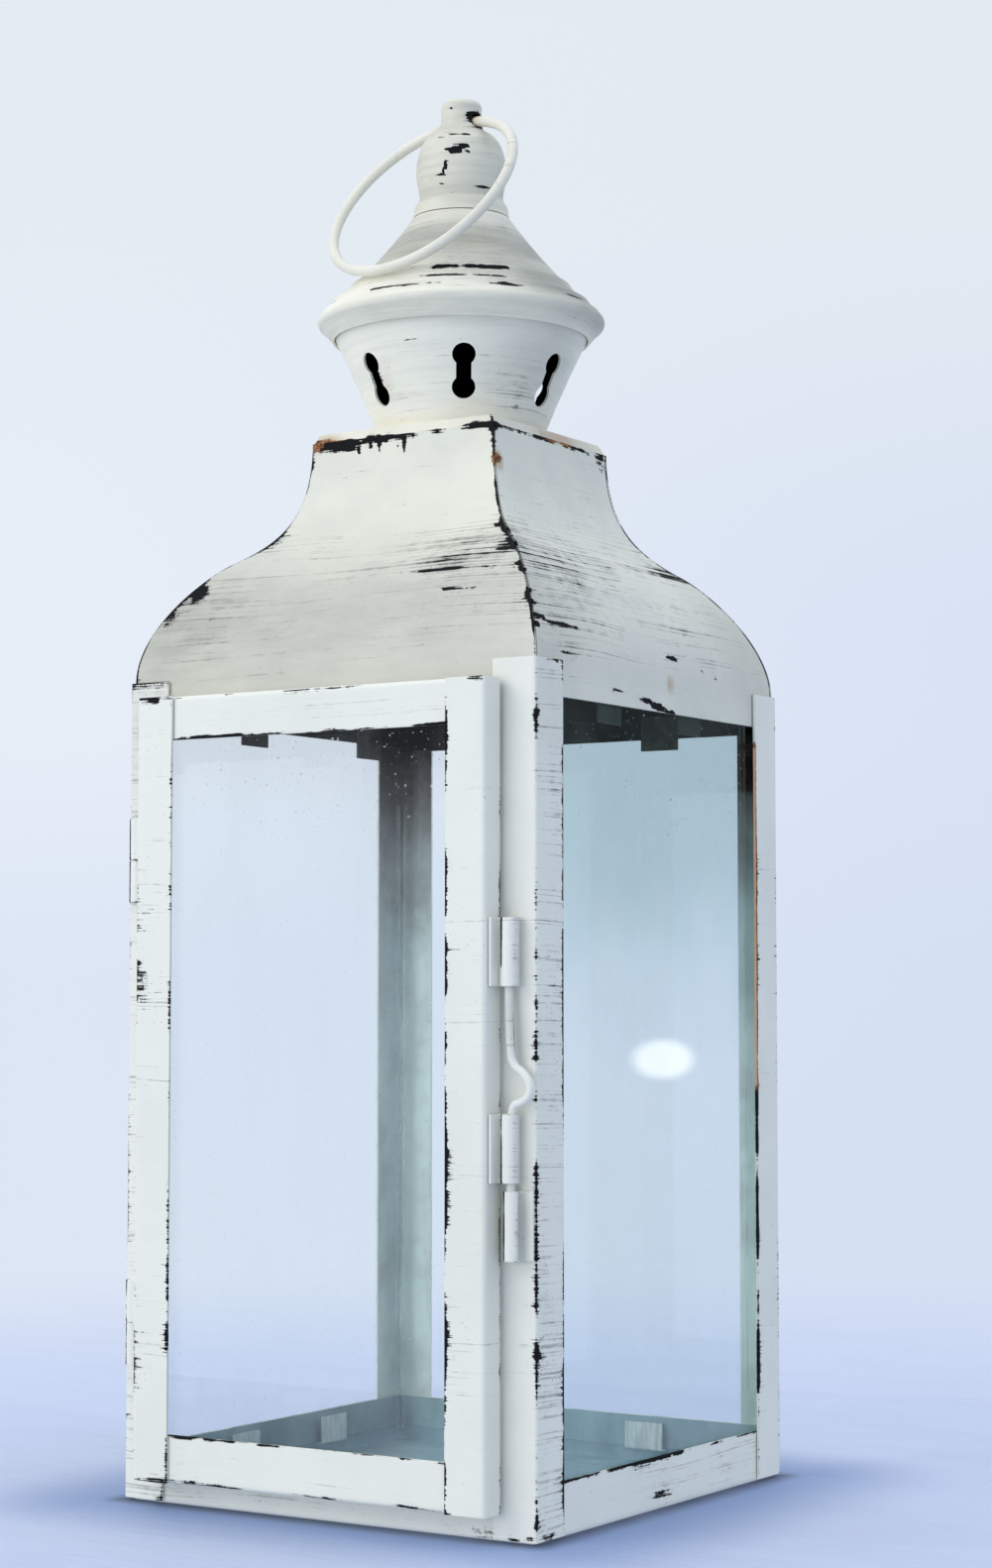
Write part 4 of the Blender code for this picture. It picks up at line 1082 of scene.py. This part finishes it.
def make_door_frame():
    front = DOOR_FRONT + SHEET / 2
    for side, node in ((-1, "door_stile_hinge"), (1, "door_stile_latch")):
        edge = side * (DOOR_HALF - SHEET / 2)
        inner = (side * STILE_INNER, front)
        back = (edge, DOOR_BACK)
        path = [inner] + rounded_corner(inner, (edge, front), back, DOOR_BEND) + [back]
        mesh = folded_sheet(path, "z", DOOR_BOTTOM, DOOR_TOP, outside=-side)
        x, corner = side * STILE_INNER / MM, side * DOOR_HALF / MM
        y, rear, low, high = (size / MM for size in (DOOR_FRONT, DOOR_BACK, DOOR_BOTTOM, DOOR_TOP))
        wear = worn_edges(
            ((x, y, low), (corner, y, low), 0.45), ((x, y, high), (corner, y, high), 0.66, 0.6),
            ((corner, rear, low), (corner, rear, high), 0.5))
        if side > 0:
            wear += worn_edges(
                ((x, y, low), (x, y, high), 0.7), ((x, y, 50), (x, y, 185), 1.12, 1.1),
                ((corner, y, low), (corner, y, high), 0.3))
        else:
            wear += (
                worn_edges(((x, y, low), (x, y, high), 0.28), ((corner, y, low), (corner, y, high), 0.38))
                + spots(
                    (x, y, 165, 12, 4, 20, 0.16), (corner, y, 165, 8, 4, 22, 0.22),
                    (x, y, 45, 4, 4, 28, 0.2), (corner, y, 50, 5, 4, 28, 0.2)))
        piece(
            node, mesh, (door_paint, inside_frame), "door_paint", wear=wear,
            haze=spots((0, y, 165, 90, 10, 30, 0.15), (corner, y, 50, 20, 10, 40, 0.1)))
    face = DOOR_FRONT + SHEET + GAP + SHEET / 2
    rails = (
        ("door_rail_top", DOOR_TOP - SHEET / 2, DOOR_TOP - RAIL_TOP_WIDTH, 1),
        ("door_rail_bottom", DOOR_BOTTOM + SHEET / 2, DOOR_BOTTOM + RAIL_BOTTOM_WIDTH, -1))
    for node, edge, inner, outside in rails:
        bend = rounded_corner((face, inner), (face, edge), (DOOR_BACK, edge), DOOR_BEND)
        path = [(face, inner)] + bend + [(DOOR_BACK, edge)]
        mesh = folded_sheet(path, "x", -RAIL_HALF, RAIL_HALF, outside=outside)
        x, y, a, b = (size / MM for size in (RAIL_HALF, face - SHEET / 2, inner, edge))
        piece(
            node, mesh, (door_paint, inside_frame), "door_paint",
            wear=worn_edges(((-x, y, a), (x, y, a), 0.72, 0.7), ((-x, y, b), (x, y, b), 0.72, 0.7)),
            haze=spots((0, y, (a + b) / 2, 80, 10, 20, 0.1)))


def door_knuckle_path(side, shift=0.0):
    """A leaf on the door's side return that bends away and rolls into a barrel."""
    axis = KNUCKLE_X + shift
    leaf = DOOR_HALF + GAP + SHEET / 2
    meet = radians(150)
    spoke = (cos(meet), sin(meet))
    lift_off = (axis + KNUCKLE_RADIUS * spoke[0] - leaf) / spoke[1]
    bend = KNUCKLE_Y + KNUCKLE_RADIUS * spoke[1] + lift_off * spoke[0]
    path = [(leaf, DOOR_FRONT + LEAF_START), (leaf, bend)]
    path += arc((axis, KNUCKLE_Y), KNUCKLE_RADIUS, 150, -160, 44)
    return [(side * x, y) for x, y in path]


def post_knuckle_path(side, shift=0.0):
    """A leaf on the corner post's front flange that rolls forward into a barrel."""
    axis = KNUCKLE_X + shift
    leaf = -BODY_HALF - GAP - SHEET / 2
    path = [(BODY_HALF - 0.0006, leaf), (axis + LEAF_FOOT, leaf)]
    path += arc((axis, KNUCKLE_Y), KNUCKLE_RADIUS, 75, 340, 40)
    return [(side * x, y) for x, y in path]


def knuckle(node, path, side, outside, shift=0.0):
    """A rolled fitting: a hinge leaf, a latch barrel or the keeper."""
    low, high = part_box(node)
    mesh = folded_sheet(path, "z", low.z, high.z, step=0.0013, fine=0.0008, outside=side * outside)
    bottom, top = low.z / MM, high.z / MM

    def on_barrel(turn, height):
        x, y, _ = around_z(KNUCKLE_RADIUS + SHEET / 2, MARKED_SIDE + turn, 0)
        return (side * (KNUCKLE_X + shift) + x) / MM, (KNUCKLE_Y + y) / MM, height

    wear = [along(on_barrel(-64, bottom), on_barrel(-64, top), 0.7, 1.5)]
    wear += spots(*((*on_barrel(0, height), 3, 3, 0.6, 0.36) for height in (bottom, top)))
    middle = on_barrel(30, (bottom + top) / 2)
    piece(
        node, mesh, (fitting_paint, fitting_paint), "fitting_paint", wear=wear,
        haze=spots((*middle, 1.2, 1.2, 12, 0.42)), rust=spots((*middle, 1.2, 1.2, 12, 0.3)),
        # Painted shade down the barrel's right side.
        dull=[along(on_barrel(70, bottom), on_barrel(70, top), 3, 0.5)])


def make_fittings():
    for level in ("lower", "upper"):
        knuckle(f"hinge_{level}_post_leaf", post_knuckle_path(-1), -1, -1)
        knuckle(f"hinge_{level}_door_leaf", door_knuckle_path(-1), -1, 1)
        knuckle(f"latch_barrel_{level}", door_knuckle_path(1, BARREL_SHIFT), 1, 1, BARREL_SHIFT)
        node = f"hinge_{level}_pin"
        low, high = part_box(node)
        heights = steps_between(low.z, high.z, 0.002)
        mesh = tube([(-KNUCKLE_X, KNUCKLE_Y, z) for z in heights], PIN_RADIUS)
        piece(
            node, mesh, (fitting_paint,), "fitting_paint",
            wear=spots((-KNUCKLE_X / MM, KNUCKLE_Y / MM, high.z / MM, 3, 3, 3, 0.5)))
    knuckle("latch_keeper", post_knuckle_path(1, KEEPER_SHIFT), 1, -1, KEEPER_SHIFT)


def make_bolt():
    low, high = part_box("latch_bolt")
    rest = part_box("latch_barrel_lower")[1].z
    bend = [
        (0.0000, 0.0190), (0.0003, 0.0160), (0.0016, 0.0136), (0.0041, 0.0118), (0.00605, 0.0094),
        (0.00655, 0.0067), (0.0053, 0.0044), (0.0030, 0.0033), (0.0012, 0.0024), (0.0004, 0.0002),
        (0.0002, -0.0030)]
    knots = [(-0.0007, high.z), (-0.0006, rest + 0.0350), (-0.0003, rest + 0.0230)]
    knots += [(x, rest + z) for x, z in bend]
    knots += [(0.0, rest - 0.0120), (0.0, low.z)]
    route = smooth_path([(KNUCKLE_X + x, KNUCKLE_Y, z) for x, z in knots], 7)
    mesh = tube(route, BOLT_WIRE)
    x, y = KNUCKLE_X / MM, KNUCKLE_Y / MM
    piece(
        "latch_bolt", mesh, (fitting_paint,), "fitting_paint",
        wear=(
            # Rubbed-through paint and painted shade: a dark stripe down the wire's right side above its
            # bend.
            [along((x + 0.5, y + 0.7, 151), (x + 0.7, y + 0.7, 136), 0.8, 2.4)]
            + spots((x, y, rest / MM + 1, 3, 3, 1.2, 0.5), (x, y, 99.5, 3, 3, 2, 0.4))),
        haze=spots((x, y, 150, 3, 3, 20, 0.25)), dull=spots((x, y, 150, 3, 3, 12, 0.35)))


make_base_pan()
make_posts()
make_roof_panels()
make_top_plate()
make_chimney()
make_cap()
make_finial()
make_ring()
make_door_frame()
make_fittings()
make_bolt()
for node in nodes:
    if node.startswith("clip_"):
        keep_node(node, clips)
    elif node == "pane_right":
        keep_node(node, green_glass, soft_edge=0.0003)
    elif node.startswith("pane_") or node == "door_pane":
        keep_node(node, clear_glass, soft_edge=0.0003)


# --- studio ---------------------------------------------------------------------------------
def make_floor():
    """A wide plain floor with a painted shadow that darkens it round and under the lantern, and that pales
    away into the background.
    """
    bpy.ops.mesh.primitive_circle_add(vertices=128, radius=30.0, fill_type="NGON")
    floor = bpy.context.object
    floor.name = "floor"
    t = Material("pale_floor")
    reach = t.vector_math("LENGTH", t.place)["Value"]
    x, y, z = t.parts()
    outside = [
        t.math("MAXIMUM", t.math("SUBTRACT", t.math("ABSOLUTE", part), BODY_HALF), 0.0) for part in (x, y)]
    beside = t.math("SQRT", t.sum(*(t.product(part, part) for part in outside)))
    # Painted shadow: the floor colour darkens towards the lantern's base outline.
    cloth_and_shadow = t.mix(t.step(beside, 0.003, 0.062), (0.23, 0.32, 0.55), (0.55, 0.61, 0.79))
    # Painted contact shadow: a near-black band right at the base's edges.
    cloth_and_shadow = t.mix(t.step(beside, -0.002, 0.009), (0.03, 0.045, 0.10), cloth_and_shadow)
    creases = t.step(t.noise((9, 30, 1), 4.0, 0.6), 0.35, 0.70)
    # Painted shade: the cloth colour darkens along its creases.
    cloth_and_shadow = t.mix(t.product(creases, 0.14), cloth_and_shadow, (0.36, 0.42, 0.58))
    t.shade("Roughness", 0.6)
    t.shade("Base Color", cloth_and_shadow)
    t.bump(creases, 0.002, 0.3)
    turned_way = t.parts(t.vector_math("NORMALIZE", t.place)[0])[0]
    pale = t.glow(t.mix(t.step(turned_way, -0.68, -0.38), LOW_LEFT, LOW_RIGHT))
    final = t.mix_shaders(t.step(reach, 0.14, 0.80), t.shader, pale)
    bounce = t.glow((0.48, 0.58, 0.76, 1.0))
    final = t.mix_shaders(t.node("LightPath").outputs["Is Diffuse Ray"], final, bounce)
    t.surface(final)
    floor.data.materials.append(t.material)


# The backdrop's colours at three heights, and the middles of the dark places that the panes mirror.
LOW_LEFT, LOW_RIGHT = (0.725, 0.793, 0.915), (0.667, 0.747, 0.898)
HIGH_LEFT, HIGH_RIGHT = (0.800, 0.857, 0.940), (0.700, 0.768, 0.905)
TOP_LEFT, TOP_RIGHT = (0.775, 0.835, 0.900), (0.768, 0.823, 0.887)
ROOM_SHADE = (0.508, 0.860, 0.058)
HIGH_SHADE = (0.495, 0.860, 0.16)
DOOR_SHADE = (-0.555, -0.825, 0.13)


def make_light():
    world = bpy.data.worlds.new("pale_studio")
    scene.world = world
    world.use_nodes = True
    t = Tree(world.node_tree, "Generated")
    x, y, z = t.parts()
    across = t.step(x, -0.68, -0.38)
    backdrop = t.mix(
        t.step(z, 0.0, 0.10), t.mix(across, LOW_LEFT, LOW_RIGHT), t.mix(across, HIGH_LEFT, HIGH_RIGHT))
    backdrop = t.mix(t.step(z, 0.11, 0.27), backdrop, t.mix(across, TOP_LEFT, TOP_RIGHT))
    shades = [
        t.product(
            t.step(t.vector_math("DISTANCE", t.place, centre)["Value"], 0.08, reach, amount, 0.0),
            t.step(z, low, high))
        for centre, reach, amount, low, high in (
            (HIGH_SHADE, 0.22, 0.88, 0.040, 0.078), (DOOR_SHADE, 0.24, 0.75, 0.058, 0.085))]
    backdrop = t.mix(t.math("MAXIMUM", *shades), backdrop, (0.03, 0.03, 0.03))
    flat = (0.45, 0.45, 1.0)
    centre = [a * b for a, b in zip(ROOM_SHADE, flat)]
    room = t.vector_math("DISTANCE", t.scaled(flat), centre)["Value"]
    backdrop = t.mix(t.step(room, 0.016, 0.055, 0.80, 0.0), backdrop, (0.10, 0.13, 0.14))
    soft_light = t.mix(t.step(x, -0.5, 0.6), (0.735, 0.75, 0.76), (0.34, 0.455, 0.67))
    soft_light = t.mix(t.step(z, 0.06, 0.55), soft_light, (0.89, 0.96, 1.09))
    background = world.node_tree.nodes["Background"]
    t.put(
        background.inputs["Color"],
        t.mix(t.node("LightPath").outputs["Is Diffuse Ray"], backdrop, soft_light))
    area_light("key", (-1.1, -1.7, 1.3), 1.1, 12, (1.0, 0.965, 0.88))
    area_light("low", (-0.2, -2.0, 0.10), 0.9, 9.5, (1.0, 0.985, 0.95))
    area_light("top", (0.5, 0.3, 1.8), 0.9, 3, (0.90, 0.96, 1.0))
    make_lamp_glow()


def make_lamp_glow():
    """A small soft oval lamp, off to the back and right, that shows only in the glass."""
    bpy.ops.mesh.primitive_circle_add(
        vertices=64, radius=1.0, fill_type="NGON", location=(1.30, 2.18, 0.081))
    glow = bpy.context.object
    glow.name = "oval_lamp"
    glow.rotation_euler = (Vector((0.49, 0.87, 0.0))).to_track_quat("Z", "Y").to_euler()
    glow.scale = (0.044, 0.028, 1.0)
    t = Material("oval_lamp")
    bright = t.glow((1.0, 0.98, 0.95, 1.0), 3.0)
    reach = t.vector_math("LENGTH", t.place)["Value"]
    final = t.mix_shaders(t.step(reach, 0.50, 1.0), bright, t.node("BsdfTransparent"))
    t.surface(final)
    glow.data.materials.append(t.material)


def area_light(name, place, size, power, colour):
    """A square soft light that faces the lantern's middle."""
    lamp = bpy.data.lights.new(name, "AREA")
    lamp.size = size
    lamp.energy = power
    lamp.color = colour
    item = bpy.data.objects.new(name, lamp)
    item.location = place
    aim = Vector((0, 0, 0.2)) - Vector(place)
    item.rotation_euler = aim.to_track_quat("-Z", "Y").to_euler()
    scene.collection.objects.link(item)


def make_camera():
    lens = bpy.data.cameras.new("camera")
    lens.lens = 69.36
    lens.sensor_width = 36.0
    camera = bpy.data.objects.new("camera", lens)
    camera.location = (0.531, -0.8106, 0.1561)
    camera.rotation_euler = (radians(90 + 3.95), 0.0, radians(32.56))
    scene.collection.objects.link(camera)
    scene.camera = camera


make_floor()
make_light()
make_camera()
scene.view_settings.view_transform = "Standard"
